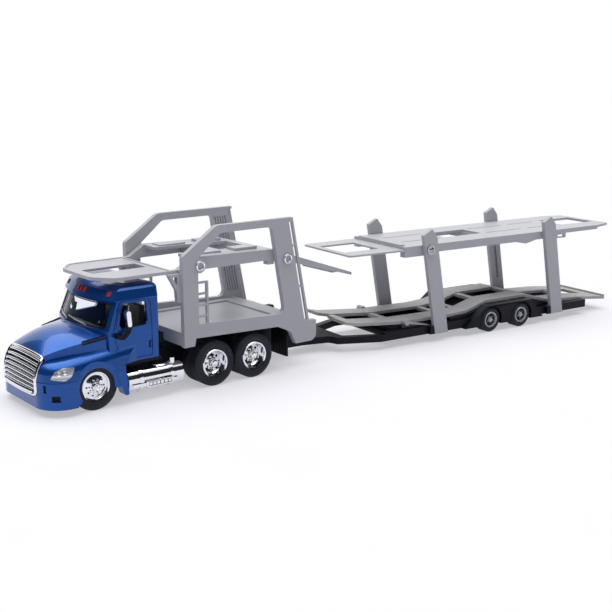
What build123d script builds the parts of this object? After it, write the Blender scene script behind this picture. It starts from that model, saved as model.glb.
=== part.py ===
from build123d import *
import math
import os

# Toy car transporter, about 1:43: a day-cab tractor with a headrack, and a two-deck trailer
# hinged at a low pin behind the drive axles. Millimetres: X forward, Y to the left, Z up.
# The origin is on the floor under the hitch pin. The trailer is drawn straight and then
# turned about that pin, to where it stands.

# Shared fits and walls
TRAILER_YAW = -5.5
RUNNING_FIT = 0.1
SIDE_PLAY = 0.4
CASTING_WALL = 1.4
SEAM = 0.35
BEYOND = 200.0

# Widths that the cab and the front wheels follow
NOSE_HALF = 29.0
CAB_HALF = NOSE_HALF - 2.4
FRONT_WHEEL_Y = NOSE_HALF - 2.0

# Wheels. Columns: name, x, tyre radius, tyre width, y of the outer face, tyres on a side, rim
AXLE_PIN_R = 1.2
TWIN_GAP = 1.2
TRACTOR_AXLES = [
    ("front_axle", 127.5, 12.0, 7.0, FRONT_WHEEL_Y, 1, "domed"),
    ("drive_axle_1", 60.0, 12.0, 6.6, 29.2, 2, "dished"),
    ("drive_axle_2", 35.0, 12.0, 6.6, 29.2, 2, "dished"),
]
TRAILER_AXLES = [
    ("trailer_axle_1", -141.4, 7.8, 8.0, 27.9, 1, "ring"),
    ("trailer_axle_2", -167.0, 7.8, 8.0, 27.9, 1, "ring"),
]
# Rim faces from the cap to the lip. Columns: radius, y from the tyre's outer face
RIM_FACES = {
    "domed": [(0, 0.3), (2.0, 0.3), (2.4, -0.4), (5.6, -1.3), (6.4, -1.3), (6.7, -0.2), (7.3, 0)],
    "dished": [
        (0, -0.8), (1.9, -0.8), (2.3, -3.4), (5.4, -4.2), (6.2, -3.4), (6.6, -0.2), (7.3, 0),
    ],
    "ring": [(0, -0.5), (1.5, -0.5), (1.8, -1.3), (3.7, -1.5), (4.1, -0.2), (4.7, 0)],
}
RIM_HOLE_COUNT = {"domed": 10, "dished": 8, "ring": 5}
# Columns: seat radius under the tyre, disc thickness, hole radius, hole circle radius
RIM_SIZES = {
    "domed": (7.6, 1.6, 0.5, 4.6),
    "dished": (7.6, 1.6, 0.8, 4.3),
    "ring": (5.0, 1.4, 0.55, 2.9),
}
RIM_WALL = 1.0
RIM_STEP = 0.3
HUB_R = 2.6
HUB_CAP = 1.0
TYRE_BEAD = 0.5
TYRE_SHOULDER = 0.22

# Tractor chassis
RAIL_INNER_Y = 6.0
RAIL_OUTER_Y = 9.5
RAIL_BOTTOM = 9.5
RAIL_REAR_X = -7.0
RAIL_FRONT_X = 144.0
RAIL_NOSE_Z = 16.0
CROSS_MEMBERS_X = (47.0, 84.0, 104.0, 140.0)
MEMBER_TOP = 15.0
HITCH_PLATE_X = 9.4
CAB_BASE_Z = 21.0
CAB_BASE_THICK = 1.6

# Cab body: the cab's plan shrinks upwards in steps to a round-edged roof. Columns: z, rear x,
# half width, x of the front corners, x of the front's middle
CAB_SECTIONS = [
    (21.0, 90.7, CAB_HALF, 119.4, 121.0),
    (37.5, 90.6, CAB_HALF, 119.4, 125.4),
    (51.2, 90.2, CAB_HALF - 1.0, 114.0, 119.6),
    (51.8, 90.2, CAB_HALF - 0.8, 115.6, 121.2),
    (56.4, 90.2, CAB_HALF - 1.8, 113.2, 118.0),
    (57.5, 90.8, CAB_HALF - 2.8, 111.4, 116.0),
    (58.2, 92.0, CAB_HALF - 4.4, 109.0, 113.4),
    (58.6, 94.4, CAB_HALF - 7.6, 105.2, 109.2),
]
CAB_REAR_X = CAB_SECTIONS[0][1]
CAB_FRONT_X = CAB_SECTIONS[0][3]
CAB_CORNER_R = 2.6
# Rows of the section table: sill, underside of the brow, top of the brow
SILL_ROW, HEADER_ROW, BROW_ROW, BROW_TOP_ROW = 1, 2, 3, 4
# Hood ribs from the windscreen to the nose. Columns: x, half width, shoulder z, crown z
HOOD_SECTIONS = [
    (118.0, CAB_HALF - 1.4, 35.6, 38.8),
    (130.0, CAB_HALF - 4.2, 33.4, 38.0),
    (141.0, CAB_HALF - 7.0, 31.2, 36.0),
    (149.6, 16.8, 28.4, 30.2),
]
# Openings and the door's outline. Columns: x or y, z, corner radius
SIDE_WINDOW = [
    (97.8, 38.6, 1.6), (111.8, 37.8, 1.0), (113.8, 40.0, 1.0), (111.2, 50.0, 1.6), (98.2, 50.0, 1.6),
]
SCREEN_LOW = CAB_HALF - 2.2
SCREEN_HIGH = CAB_HALF - 3.4
WINDSCREEN = [
    (-SCREEN_LOW, 38.4, 1.2), (SCREEN_LOW, 38.4, 1.2), (SCREEN_HIGH, 50.4, 1.6), (-SCREEN_HIGH, 50.4, 1.6),
]
REAR_WINDOW = [(-14.0, 41.0, 1.5), (14.0, 41.0, 1.5), (14.0, 50.4, 1.5), (-14.0, 50.4, 1.5)]
DOOR = [(95.4, 22.4, 1.0), (113.6, 22.4, 1.0), (117.0, 36.8, 1.0), (113.2, 51.0, 1.5), (95.4, 51.0, 1.5)]
WINDOW_FRAME = 1.3
FRAME_PROUD = 0.35
GLASS_INSET = 0.35
GLASS_THICK = 0.9
CAB_MIDDLE_X = 105.0
WINDSCREEN_BACK_X = 113.6

# Fenders and bumper
FIN_REAR_X = 104.0
FENDER_REAR_X = 112.0
NOSE_FRONT_X = 153.8
NOSE_SIDE_X = 138.0
NOSE_CORNER_R = 13.0
NOSE_TAPER = 7.0
FENDER_SEAM_Z = 17.4
FENDER_HIGH = 9.8
FENDER_SLOPE = 7.0
FENDER_WALL = 1.5
FENDER_SHOULDER_R = 6.0
FENDER_TAIL_DEEP = 6.0
FENDER_TAIL_Z = 5.2
ARCH_R = 11.4
ARCH_DROP = 0.6
WELL_PLAY = 0.5
BUMPER_BOTTOM = 4.0
BUMPER_WALL = 3.0
RECESS_DEEP = 1.2
# Recesses in the bumper's corners: fog lamp and slot. Columns: angle round the corner, z of the
# middle, width, height
BUMPER_RECESSES = [(56.0, 9.5, 4.6, 3.0), (31.0, 14.2, 1.5, 3.8)]
BAY_HALF = 14.0
BAY_FRONT_X = 146.0
BAY_TOP_Z = 25.4

# Grille and headlamps
GRILLE_BOTTOM_Z = 9.0
GRILLE_SIDE_Z = 28.2
GRILLE_CROWN_Z = 30.0
GRILLE_TOP_HALF = 16.0
GRILLE_BOTTOM_HALF = 15.0
GRILLE_SIDE_X = NOSE_FRONT_X - 2.2
GRILLE_THICK = 2.2
GRILLE_BOW = 3.0
GRILLE_RAKE = 3.4
GRILLE_PROUD = 9.0
GRILLE_FRAME = 1.6
GRILLE_CHIN = 2.6
GRILLE_BARS = 7
BAR_SHARE = 0.52
INTAKE_HIGH = 1.0
# Headlamp seen from the side. Columns: x, z, corner radius
LAMP_ZONE = [
    (150.1, 19.0, 0.5), (148.1, 22.6, 0.8), (144.4, 24.2, 0.8), (138.4, 24.0, 0.6), (140.8, 19.8, 0.8),
    (143.9, 18.2, 0.8),
]
LAMP_DEEP = 1.2
# Marker lamps along the brow
MARKER_OUTER = CAB_HALF - 5.1
MARKER_Y = (-MARKER_OUTER, -3.4, 0.0, 3.4, MARKER_OUTER)
MARKER_HALF = 0.9
MARKER_Z = (53.9, 56.1)
MARKER_PROUD = 0.5

# Cab tub. Columns: x, z, corner radius
TUB_THICK = 1.5
DASH = [(112.0, CAB_BASE_Z, 0), (117.0, CAB_BASE_Z, 0), (117.0, 37.0, 1.0), (112.0, 35.0, 1.0)]
SEAT = [
    (94.4, CAB_BASE_Z, 0), (105.0, CAB_BASE_Z, 0), (105.0, 29.0, 1.5), (98.6, 29.0, 0.8),
    (96.6, 46.0, 1.0), (94.0, 46.0, 1.0),
]
SEAT_Y = (5.0, 17.0)
STEERING_PLACE = (109.4, 11.0, 35.0)
STEERING_TILT = 58.0
STEERING_R = 4.0
STEERING_RIM_R = 0.6
STEERING_SHAFT_R = 0.8

# Mirrors. Columns: x, z, corner radius
MIRROR_HEAD = [(109.0, 39.6, 1.0), (111.2, 39.6, 1.0), (112.0, 47.4, 1.0), (109.6, 47.4, 1.0)]
MIRROR_ARM = [
    (116.4, 34.2, 0.6), (112.6, 33.2, 1.5), (109.2, 36.4, 1.5), (107.8, 41.4, 0.4), (109.6, 41.8, 0.4),
    (110.8, 37.8, 1.2), (113.2, 35.0, 1.2), (116.4, 35.8, 0.6),
]
MIRROR_FOOT_X = (113.0, 116.4)
MIRROR_FOOT_Z = (34.2, 35.8)
MIRROR_Y = 2.0
MIRROR_HEAD_WIDE = 2.6
MIRROR_ARM_WIDE = 1.3

# Fuel tanks and mudflaps
TANK_X = (78.6, 110.0)
TANK_OUTER_Y = NOSE_HALF - 0.2
TANK_WIDE = 10.8
TANK_INNER_Y = TANK_OUTER_Y - TANK_WIDE
TANK_Z = (4.6, 16.2)
TANK_R = 5.0
TANK_STEP_PROUD = 0.8
STRAP = 0.4
STRAP_IN = 7.0
STRAP_WIDE = 2.0
FILLER_R = 1.7
FILLER_HIGH = 2.2
FILLER_IN = 4.4
TANK_STEP_Z = (8.0, 9.4)
TANK_BRACKET_Z = (11.0, 14.0)
FLAP_X = 11.0
FLAP_INNER_Y = 13.0
FLAP_BOTTOM = 7.0
FLAP_TOP = 24.0

# Headrack
RACK_HALF = 30.0
RACK_PLATE = 3.0
RACK_TOP = 84.0
RACK_BAR = 4.0
RACK_FRONT_X = 79.0
RACK_FRONT_Z = 70.0
RACK_POST = 9.0
RACK_FLOOR_TOP = 31.0
RACK_FLOOR_THICK = 3.0
RACK_FLOOR_REAR_X = 8.0
RACK_FLOOR_RECESS = 0.8
RACK_FLOOR_RIM = 5.0
RACK_BEAM_Z = 24.0
RACK_BEAM_LONG = 5.0
RACK_FOOT_TOP = 26.0
RACK_FOOT_Z = 14.3
RACK_REAR_X = -6.3
# Rear ladder on the left frame's outer face, leaning with the rear post
LADDER_TOP_X = 9.8
LADDER_LEAN = 0.193
LADDER_RAIL = 1.3
LADDER_GAP = 1.7
LADDER_THICK = 1.4
RUNG = 1.0
# Rung heights as shares of the way from the foot to the top
RUNG_SHARES = (0.976, 0.743, 0.35, 0.017)
# Front ladder inside the frame
STEP_COUNT = 4
STEP_PITCH = 5.8
STEP_LONG = 7.0
STEP_THICK = 1.2
STEP_TOP_Z = 56.0
STEP_FOOT_Z = 34.0
# Grooves in the rear posts' inner faces
GROOVE_COUNT = 5
GROOVE_PITCH = 1.7
GROOVE_WIDE = 0.7
GROOVE_DEEP = 0.6
GROOVE_X = 9.4
GROOVE_Z = (35.0, 79.0)
# Rivets. Columns: x, z
FRONT_PIN = (69.0, 64.6)
RAMP_PIN = (13.6, 62.1)
PIN_R = 1.2
PIN_LOBE_R = 3.8
PIN_HEAD_R = 2.9
PIN_HEAD = 0.9
PIN_DIMPLE_R = 1.7
PIN_DIMPLE = 0.5
GUSSET_IN = 2.0
GUSSET_THICK = 2.8

# Tractor upper deck and ramp
DECK_HALF = RACK_HALF - RACK_PLATE - SIDE_PLAY
DECK_REAR_X = 20.0
DECK_TOP = 68.6
DECK_FALL = 1.2
DECK_DEEP = 6.8
DECK_PLATE = 1.6
DECK_BEAM = 4.0
DECK_HOOK = 2.4
DECK_HOOK_LONG = 4.0
DECK_BARS_X = (20.0, 43.0)
DECK_BAR = 4.5
RUNNER_INNER = 11.5
PIN_BITE = 3.0
# Raised pads on the runners. Columns: rear x, front x
PADS = [(27.0, 41.0), (50.0, 66.0)]
PAD_RIM = 1.6
PAD_HIGH = 0.6
CABOVER_TOP = 63.0
CABOVER_THICK = 1.6
CABOVER_REAR_X = 82.0
CABOVER_FRONT_X = 122.0
CABOVER_RIM = 1.2
CABOVER_RECESS = 0.4
CABOVER_SLOT_X = (86.0, 116.0)
CABOVER_SLOT_HALF = 6.0
RAMP_HALF = DECK_HALF - 4.0
RAMP_RUNNER = 10.0
RAMP_KNEE_X = 5.0
RAMP_EAR_R = 3.2
RAMP_TIP = (-38.5, 47.3)
RAMP_TIP_THICK = 1.6
RAMP_BAR_IN = 5.0

# Hitch and trailer chassis
HITCH_PIN_R = 2.0
HITCH_HEAD = 1.2
HITCH_HEAD_R = 3.6
HITCH_TOP_Z = 14.0
TONGUE_BOTTOM = 5.0
TONGUE_TOP = 9.0
TONGUE_HALF = 7.0
TONGUE_LENGTH = 15.0
NECK_X = -33.0
NECK_HALF = 16.0
NECK_BAR = 5.0
NECK_REAR_X = -57.0
POST_FACE = RACK_HALF - 1.8
POST_THICK = 2.6
SIDE_RAIL_OUTER = POST_FACE - POST_THICK
SIDE_RAIL_WIDE = 4.4
SIDE_RAIL_TOP = 10.0
SIDE_RAIL_REAR_X = -228.0
PAN_THICK = 1.2
PAN_FRONT_X = -66.0
WELL_LONG = 14.0
AXLE_FRAME_INNER = 9.0
AXLE_FRAME_OUTER = 15.6
AXLE_FRAME_TOP = 12.0
MEMBER = 2.0
SKIRT_BOTTOM = 9.4
SKIRT_THICK = 2.0
SKIRT_PLAY = 0.1
WHEEL_PLAY = 0.7

# Trailer posts and decks
POST_PITCH = 97.9
POST_FOOT_Z = 5.0
# Columns: x, z, corner radius, of the front post
POST_OUTLINE = [
    (-106.0, POST_FOOT_Z, 0), (-96.1, POST_FOOT_Z, 0), (-85.5, 65.5, 0.6), (-91.8, 68.8, 0.6),
    (-95.7, 63.8, 0.6),
]
POST_LEAN = (POST_OUTLINE[2][0] - POST_OUTLINE[1][0]) / (POST_OUTLINE[2][1] - POST_OUTLINE[1][1])
POST_SOCKET = 3.4
POST_SLOT = 2.2
POST_SLOT_DEEP = 1.2
POST_SLOT_Z = (20.0, 42.0)
TILT_PIN = (-90.8, 56.7)
LOWER_PLAY = 0.5
LOWER_HALF = SIDE_RAIL_OUTER - SIDE_RAIL_WIDE - LOWER_PLAY
LOWER_INNER = 7.6
LOWER_THICK = 1.8
BAR_DROP = 0.5
# Columns: x, z of the lower deck's upper face
LOWER_WAVE = [
    (-35.0, 19.0), (-44.0, 17.0), (-74.0, 14.2), (-112.0, 13.6), (-127.0, 14.4), (-143.0, 18.8),
    (-176.0, 18.8), (-198.0, 12.6), (-224.0, 11.4), (-252.0, 8.4),
]
LOWER_TAIL_X = -242.0
LOWER_LIP = 1.2
# Knuckle beside the lower deck's front and the strut from it down to the side rail
KNUCKLE = (-77.5, 13.6)
KNUCKLE_R = 1.7
KNUCKLE_OUT = 3.9
STRUT_FOOT_X = (-95.0, -92.5)
STRUT_IN = 0.6
UPPER_HALF = SIDE_RAIL_OUTER - SIDE_PLAY
UPPER_TOP = 59.3
UPPER_DEEP = 4.8
UPPER_PLATE = 1.5
UPPER_BEAM = 4.4
UPPER_FRONT_X = -74.0
UPPER_REAR_X = -236.0
UPPER_LIP = 0.8
TAIL_REAR_X = -250.0
TAIL_TAPER = 4.0
# Openings in the upper deck, behind its front edge. Columns: start, end, inner y, outer y
UPPER_SLOTS = [(10.0, 40.0, 8.6, 9.6), (78.0, 108.0, 8.6, 9.6), (114.0, 136.0, 8.6, 9.6)]
UPPER_MIDDLE = (44.0, 74.0)
UPPER_MIDDLE_HALF = 9.0
TAIL_OPENING = 144.0
TAIL_OPENING_HALF = 11.0
# Edge beam's dips, behind its front edge. Columns: distance, drop below the beam
BEAM_DIPS = [
    (0.0, 1.4), (14.0, 1.4), (16.0, 0.0), (88.0, 0.0), (97.0, 1.8), (106.0, 0.0), (112.0, 0.0), (118.0, -2.0),
]
BEAM_TAIL = 2.2
# Thin eye that hangs from the beam behind the rear post
BRACKET = (123.0, 132.5)
BRACKET_HOLE = (125.0, 130.5)
BRACKET_THICK = 1.2
BRACKET_DROP = 0.8
BRACKET_RIM = 0.8
FLAP_FRONT_X = -35.5
FLAP_THICK = 1.0
FLAP_TONGUE = 8.0
FLAP_RIM = 4.0
FLAP_OPEN_HALF = 13.0


def outline(rows):
    """Closed face, facing up, whose rows are first, second, corner radius."""
    turn = sum(a[0] * b[1] - b[0] * a[1] for a, b in zip(rows, rows[1:] + rows[:1]))
    rows = rows if turn > 0 else rows[::-1]
    points = [(first, second) for first, second, radius in rows]
    radii = [radius for first, second, radius in rows]
    return make_face(FilletPolyline(*points, radius=radii, close=True))


def side_slab(rows, y_low, y_high):
    """Plate with an outline in x and z."""
    return extrude(Plane.XZ.offset(-y_high) * outline(rows), amount=y_high - y_low)


def side_ring(rows, grow, y_low, y_high):
    """Ring between an outline in x and z and the same outline grown outwards or inwards."""
    face = outline(rows)
    grown = offset(face, amount=grow)
    ring = grown - face if grow > 0 else face - grown
    return extrude(Plane.XZ.offset(-y_high) * ring, amount=y_high - y_low)


def floor_slab(rows, z_low, z_high):
    """Plate with an outline in x and y."""
    return extrude(Plane.XY.offset(z_low) * outline(rows), amount=z_high - z_low)


def block(x_low, x_high, y_low, y_high, z_low, z_high):
    corner = (Align.MIN, Align.MIN, Align.MIN)
    return Pos(x_low, y_low, z_low) * Box(x_high - x_low, y_high - y_low, z_high - z_low, align=corner)


def cross_rod(x, z, radius, y_low, y_high):
    """Round bar across the vehicle."""
    seat = (Align.CENTER, Align.CENTER, Align.MIN)
    return Pos(x, y_high, z) * Rot(90, 0, 0) * Cylinder(radius, y_high - y_low, align=seat)


def both_sides(solid):
    return [solid, mirror(solid, about=Plane.XZ)]


def mirrored_rows(rows):
    """Plan outline from the rows of its left half, front to rear or rear to front."""
    return rows + [(x, -y, radius) for x, y, radius in reversed(rows)]


# Wheels
def spun(points):
    """Solid of revolution about the axle, from points of radius and y."""
    return revolve(make_face(Polyline(*points, close=True)), Axis.Y)


def tyre(radius, width, seat):
    shoulder = TYRE_SHOULDER * width
    half = width / 2
    return spun([
        (seat, half - TYRE_BEAD), (radius - shoulder, half), (radius, half - shoulder),
        (radius, shoulder - half), (radius - shoulder, -half), (seat, TYRE_BEAD - half),
    ])


def rim(style, deep):
    """Rim with its barrel, disc and hub; the outer face is at y = 0."""
    face = RIM_FACES[style]
    seat, disc, hole_r, circle_r = RIM_SIZES[style]
    holes = RIM_HOLE_COUNT[style]
    cap = face[0][1]
    web = min(y for radius, y in face) - disc
    barrel = seat - RIM_WALL
    back = [
        (seat, -RIM_STEP), (seat, -deep), (barrel, -deep), (barrel, web), (HUB_R, web), (HUB_R, -deep),
        (AXLE_PIN_R, -deep), (AXLE_PIN_R, cap - HUB_CAP), (0, cap - HUB_CAP),
    ]
    solid = spun(face + back)
    drill = cross_rod(circle_r, 0, hole_r, web - 1, 1)
    return solid - [Rot(0, 360 * i / holes, 0) * drill for i in range(holes)]


def axle_nodes(name, x, radius, width, face_y, count, style):
    """Pin, rims and tyres of one axle."""
    seat = RIM_SIZES[style][0]
    deep = count * width + (count - 1) * TWIN_GAP - RIM_STEP
    hub_end = face_y + RIM_FACES[style][0][1] - HUB_CAP
    place = Pos(x, 0, radius)
    pin = place * cross_rod(0, 0, AXLE_PIN_R, -hub_end, hub_end)
    rims = both_sides(place * Pos(0, face_y, 0) * rim(style, deep))
    tyres = []
    for i in range(count):
        middle = face_y - width / 2 - i * (width + TWIN_GAP)
        tyres += both_sides(place * Pos(0, middle, 0) * tyre(radius, width, seat))
    return {name + "_pin": [pin], name + "_rims": rims, name + "_tyres": tyres}


def axle_bores(axles, y_low, y_high):
    return [
        cross_rod(x, radius, AXLE_PIN_R + RUNNING_FIT, y_low, y_high)
        for name, x, radius, width, face_y, count, style in axles
    ]


# Cab body
def cab_plan(z, rear, half, corner, middle, inset):
    """Cab's plan at one height: round rear corners, bowed at the windscreen."""
    half -= inset
    corner -= inset
    rear += inset
    points = [(corner, -half), (rear, -half), (rear, half), (corner, half)]
    sides = FilletPolyline(*points, radius=CAB_CORNER_R - inset)
    bow = ThreePointArc((corner, half), (middle - inset, 0), (corner, -half))
    return Plane.XY.offset(z) * make_face(sides + bow)


def cab_form(inset, first, last):
    """Cab between two rows of its section table, as ruled steps."""
    steps = []
    for low, high in zip(CAB_SECTIONS[first:last], CAB_SECTIONS[first + 1:last + 1]):
        steps.append(loft([cab_plan(*low, inset), cab_plan(*high, inset)], ruled=True))
    return steps[0].fuse(*steps[1:]) if len(steps) > 1 else steps[0]


def hood_rib(x, half, shoulder, crown):
    """Hood's cross-section: upright sides under a bowed top."""
    sides = Polyline((-half, shoulder), (-half, FENDER_SEAM_Z), (half, FENDER_SEAM_Z), (half, shoulder))
    top = ThreePointArc((half, shoulder), (0, crown), (-half, shoulder))
    return Plane.YZ.offset(x) * make_face(sides + top)


def nose_plan(inset):
    """Plan of the fenders and bumper: straight sides and front, big round corners."""
    radius = NOSE_CORNER_R - inset
    rows = [(FIN_REAR_X, NOSE_HALF - inset, 0), (NOSE_FRONT_X - inset, NOSE_HALF - inset, radius)]
    return outline(mirrored_rows(rows))


def grille_plan(z, side_x, ahead, deep):
    """Bowed band across the nose; ahead and deep reach in front of and behind its face."""
    half = GRILLE_TOP_HALF
    face_x = side_x + ahead
    front = ThreePointArc((face_x, half), (face_x + GRILLE_BOW, 0), (face_x, -half))
    back = Polyline((face_x, -half), (side_x - deep, -half), (side_x - deep, half), (face_x, half))
    return Plane.XY.offset(z) * make_face(front + back)


def arched_prism(half_low, half_high, z_low, z_side, z_crown):
    """Prism through the nose: level below, arched above."""
    sides = Polyline((half_high, z_side), (half_low, z_low), (-half_low, z_low), (-half_high, z_side))
    arch = ThreePointArc((-half_high, z_side), (0, z_crown), (half_high, z_side))
    return extrude(Plane.YZ * make_face(sides + arch), amount=BEYOND)


def grille_block(ahead, deep):
    """Raked, bowed block that the grille fills in the nose."""
    low = grille_plan(GRILLE_BOTTOM_Z, GRILLE_SIDE_X, ahead, deep)
    high = grille_plan(GRILLE_CROWN_Z, GRILLE_SIDE_X - GRILLE_RAKE, ahead, deep)
    front = arched_prism(GRILLE_BOTTOM_HALF, GRILLE_TOP_HALF, GRILLE_BOTTOM_Z, GRILLE_SIDE_Z, GRILLE_CROWN_Z)
    return loft([low, high], ruled=True) & front


def fenders():
    """Both front fenders as one round-shouldered block that slopes down to the nose."""
    crown = Pos(0, 0, FENDER_SEAM_Z) * extrude(nose_plan(0), amount=2 * FENDER_HIGH, taper=NOSE_TAPER)
    slope = Pos(NOSE_SIDE_X, 0, FENDER_SEAM_Z + FENDER_HIGH) * Rot(0, FENDER_SLOPE, 0)
    crown = crown - slope * Box(BEYOND, BEYOND, BEYOND, align=(Align.CENTER, Align.CENTER, Align.MIN))
    lid = crown.faces().filter_by(lambda face: face.normal_at().Z > 0.9)[0]
    crown = fillet(lid.edges().sort_by(Axis.X)[1:], FENDER_SHOULDER_R)
    fade = [
        (FIN_REAR_X - 1, CAB_HALF - SEAM, 0), (FENDER_REAR_X + 1, NOSE_HALF + SEAM, 0),
        (FIN_REAR_X - 1, NOSE_HALF + 1, 0),
    ]
    crown = crown - both_sides(floor_slab(fade, 0, RACK_TOP))
    crown = crown - block(FIN_REAR_X - 1, FENDER_REAR_X, -NOSE_HALF, NOSE_HALF, 0, CAB_BASE_Z)
    tail = [
        (FENDER_REAR_X + 5.4, FENDER_SEAM_Z, 0), (FENDER_REAR_X + 0.8, FENDER_TAIL_Z, 0.8),
        (FENDER_REAR_X - 1.4, FENDER_TAIL_Z, 0.8), (FENDER_REAR_X, FENDER_SEAM_Z, 0),
    ]
    return crown.fuse(*both_sides(side_slab(tail, NOSE_HALF - FENDER_TAIL_DEEP, NOSE_HALF)))


def lamp_lens():
    """Headlamp that wraps round the left corner of the nose."""
    form = fenders()
    lens = form & side_slab(LAMP_ZONE, GRILLE_TOP_HALF + 2, NOSE_HALF + 1)
    return lens - Pos(-LAMP_DEEP, -LAMP_DEEP, 0) * form


def wheel_wells():
    """Room for both front wheels: a narrow opening in the outer wall, a wider well inside."""
    name, x, radius, width, face_y, count, style = TRACTOR_AXLES[0]
    inner_y = face_y - width - WELL_PLAY
    wall_y = NOSE_HALF - FENDER_WALL
    reach = radius + WELL_PLAY
    well = cross_rod(x, radius, reach, inner_y, wall_y)
    drop = block(x - reach, x + reach, inner_y, wall_y, 0, radius)
    mouth = cross_rod(x, radius - ARCH_DROP, ARCH_R, wall_y, NOSE_HALF + 1)
    return both_sides(well) + both_sides(drop) + both_sides(mouth)


def window_prisms():
    across = side_slab(SIDE_WINDOW, -CAB_HALF - 1, CAB_HALF + 1)
    ahead = extrude(Plane.YZ.offset(WINDSCREEN_BACK_X) * outline(WINDSCREEN), amount=CAB_HALF)
    behind = extrude(Plane.YZ.offset(CAB_MIDDLE_X) * outline(REAR_WINDOW), amount=-CAB_HALF)
    return [across, ahead, behind]


def cab_nodes():
    """Cab casting with its window frames and door seams, the headlamps and the glass."""
    wide = CAB_HALF + 1
    cab = cab_form(0, 0, len(CAB_SECTIONS) - 1)
    cab = cab - (side_ring(DOOR, -SEAM, -wide, wide) - cab_form(SEAM, 0, HEADER_ROW))
    skin = cab_form(-FRAME_PROUD, 0, HEADER_ROW) - cab_form(CASTING_WALL, 0, HEADER_ROW)
    frames = skin & side_ring(SIDE_WINDOW, WINDOW_FRAME, -wide, wide)
    hood = loft([hood_rib(*row) for row in HOOD_SECTIONS])
    body = cab.fuse(hood).fuse(fenders()).fuse(*frames.solids())
    room = cab_form(CASTING_WALL, 0, BROW_TOP_ROW)
    bay = block(FENDER_REAR_X - 1, BAY_FRONT_X, -BAY_HALF, BAY_HALF, 0, BAY_TOP_Z)
    lenses = both_sides(lamp_lens())
    body = body - [room, bay, grille_block(GRILLE_PROUD, GRILLE_THICK)]
    body = body - wheel_wells() - lenses - window_prisms()
    glass = cab_form(GLASS_INSET, SILL_ROW, HEADER_ROW)
    glass = glass - cab_form(GLASS_INSET + GLASS_THICK, SILL_ROW, HEADER_ROW)
    panes = [glass & prism for prism in window_prisms()]
    return {"cab_body": [body], "headlamps": lenses, "cab_glass": panes}


def bumper():
    """Bumper under the fender seam, open behind and at the wheels, recessed at the corners."""
    high = FENDER_SEAM_Z - BUMPER_BOTTOM
    shell = extrude(nose_plan(0), amount=high) - extrude(nose_plan(BUMPER_WALL), amount=high)
    line = extrude(nose_plan(-1), amount=SEAM) - extrude(nose_plan(SEAM), amount=SEAM)
    shell = Pos(0, 0, BUMPER_BOTTOM) * (shell - Pos(0, 0, high - SEAM) * line)
    arch_x = TRACTOR_AXLES[0][1] + ARCH_R - 1
    keep = block(arch_x, NOSE_FRONT_X + 1, -NOSE_HALF - 1, NOSE_HALF + 1, 0, FENDER_SEAM_Z)
    corner = (NOSE_FRONT_X - NOSE_CORNER_R, NOSE_HALF - NOSE_CORNER_R)
    recesses = []
    for angle, z, wide, high in BUMPER_RECESSES:
        place = Pos(*corner, z) * Rot(0, 0, angle) * Pos(NOSE_CORNER_R, 0, 0)
        recesses += both_sides(place * Box(2 * RECESS_DEEP, wide, high))
    return (shell & keep) - wheel_wells() - recesses - grille_block(GRILLE_PROUD, GRILLE_THICK)


def grille():
    """Chrome surround with an arched intake at the top and level bars across dark slots."""
    half = GRILLE_BOTTOM_HALF - GRILLE_FRAME
    side_z = GRILLE_SIDE_Z - GRILLE_FRAME / 2
    intake_z = side_z - INTAKE_HIGH
    slots = [arched_prism(half, half, intake_z, side_z, GRILLE_CROWN_Z - GRILLE_FRAME)]
    low_z = GRILLE_BOTTOM_Z + GRILLE_CHIN
    pitch = (intake_z - low_z) / GRILLE_BARS
    for i in range(GRILLE_BARS):
        low = low_z + i * pitch
        slots.append(block(0, BEYOND, -half, half, low, low + BAR_SHARE * pitch))
    return grille_block(0, GRILLE_THICK) - slots


def cab_interior():
    """Dark tub: floor, dashboard, two seats and the steering wheel."""
    half = CAB_HALF - CASTING_WALL
    floor_z = CAB_BASE_Z + TUB_THICK
    tub = block(CAB_REAR_X + CASTING_WALL, CAB_FRONT_X - CASTING_WALL - 2, -half, half, CAB_BASE_Z, floor_z)
    parts = [side_slab(DASH, -half, half)]
    parts += both_sides(side_slab(SEAT, *SEAT_Y))
    column = Pos(*STEERING_PLACE) * Rot(0, STEERING_TILT, 0)
    parts.append(column * Torus(STEERING_R, STEERING_RIM_R))
    seat = (Align.CENTER, Align.CENTER, Align.MIN)
    parts.append(column * Cylinder(STEERING_SHAFT_R, 2 * STEERING_R, align=seat))
    parts.append(column * Box(2 * STEERING_R, STEERING_SHAFT_R, STEERING_SHAFT_R))
    return tub.fuse(*parts)


def marker_lamps():
    """Five lamps along the roof's brow."""
    brow = cab_form(-MARKER_PROUD, BROW_ROW, BROW_TOP_ROW) - cab_form(0, BROW_ROW, BROW_TOP_ROW)
    front = [block(CAB_MIDDLE_X, BEYOND, y - MARKER_HALF, y + MARKER_HALF, *MARKER_Z) for y in MARKER_Y]
    return [brow & slot for slot in front]


def mirror_nodes():
    """Mirror heads, and the arms that carry them from the doors' front corners."""
    y_low = CAB_HALF + MIRROR_Y
    y_arm = y_low + MIRROR_ARM_WIDE
    foot = block(*MIRROR_FOOT_X, CAB_HALF, y_arm, *MIRROR_FOOT_Z)
    arm = side_slab(MIRROR_ARM, y_low, y_arm).fuse(foot)
    head = side_slab(MIRROR_HEAD, y_low, y_low + MIRROR_HEAD_WIDE) - arm
    return {"mirrors": both_sides(head), "mirror_arms": both_sides(arm)}


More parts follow.
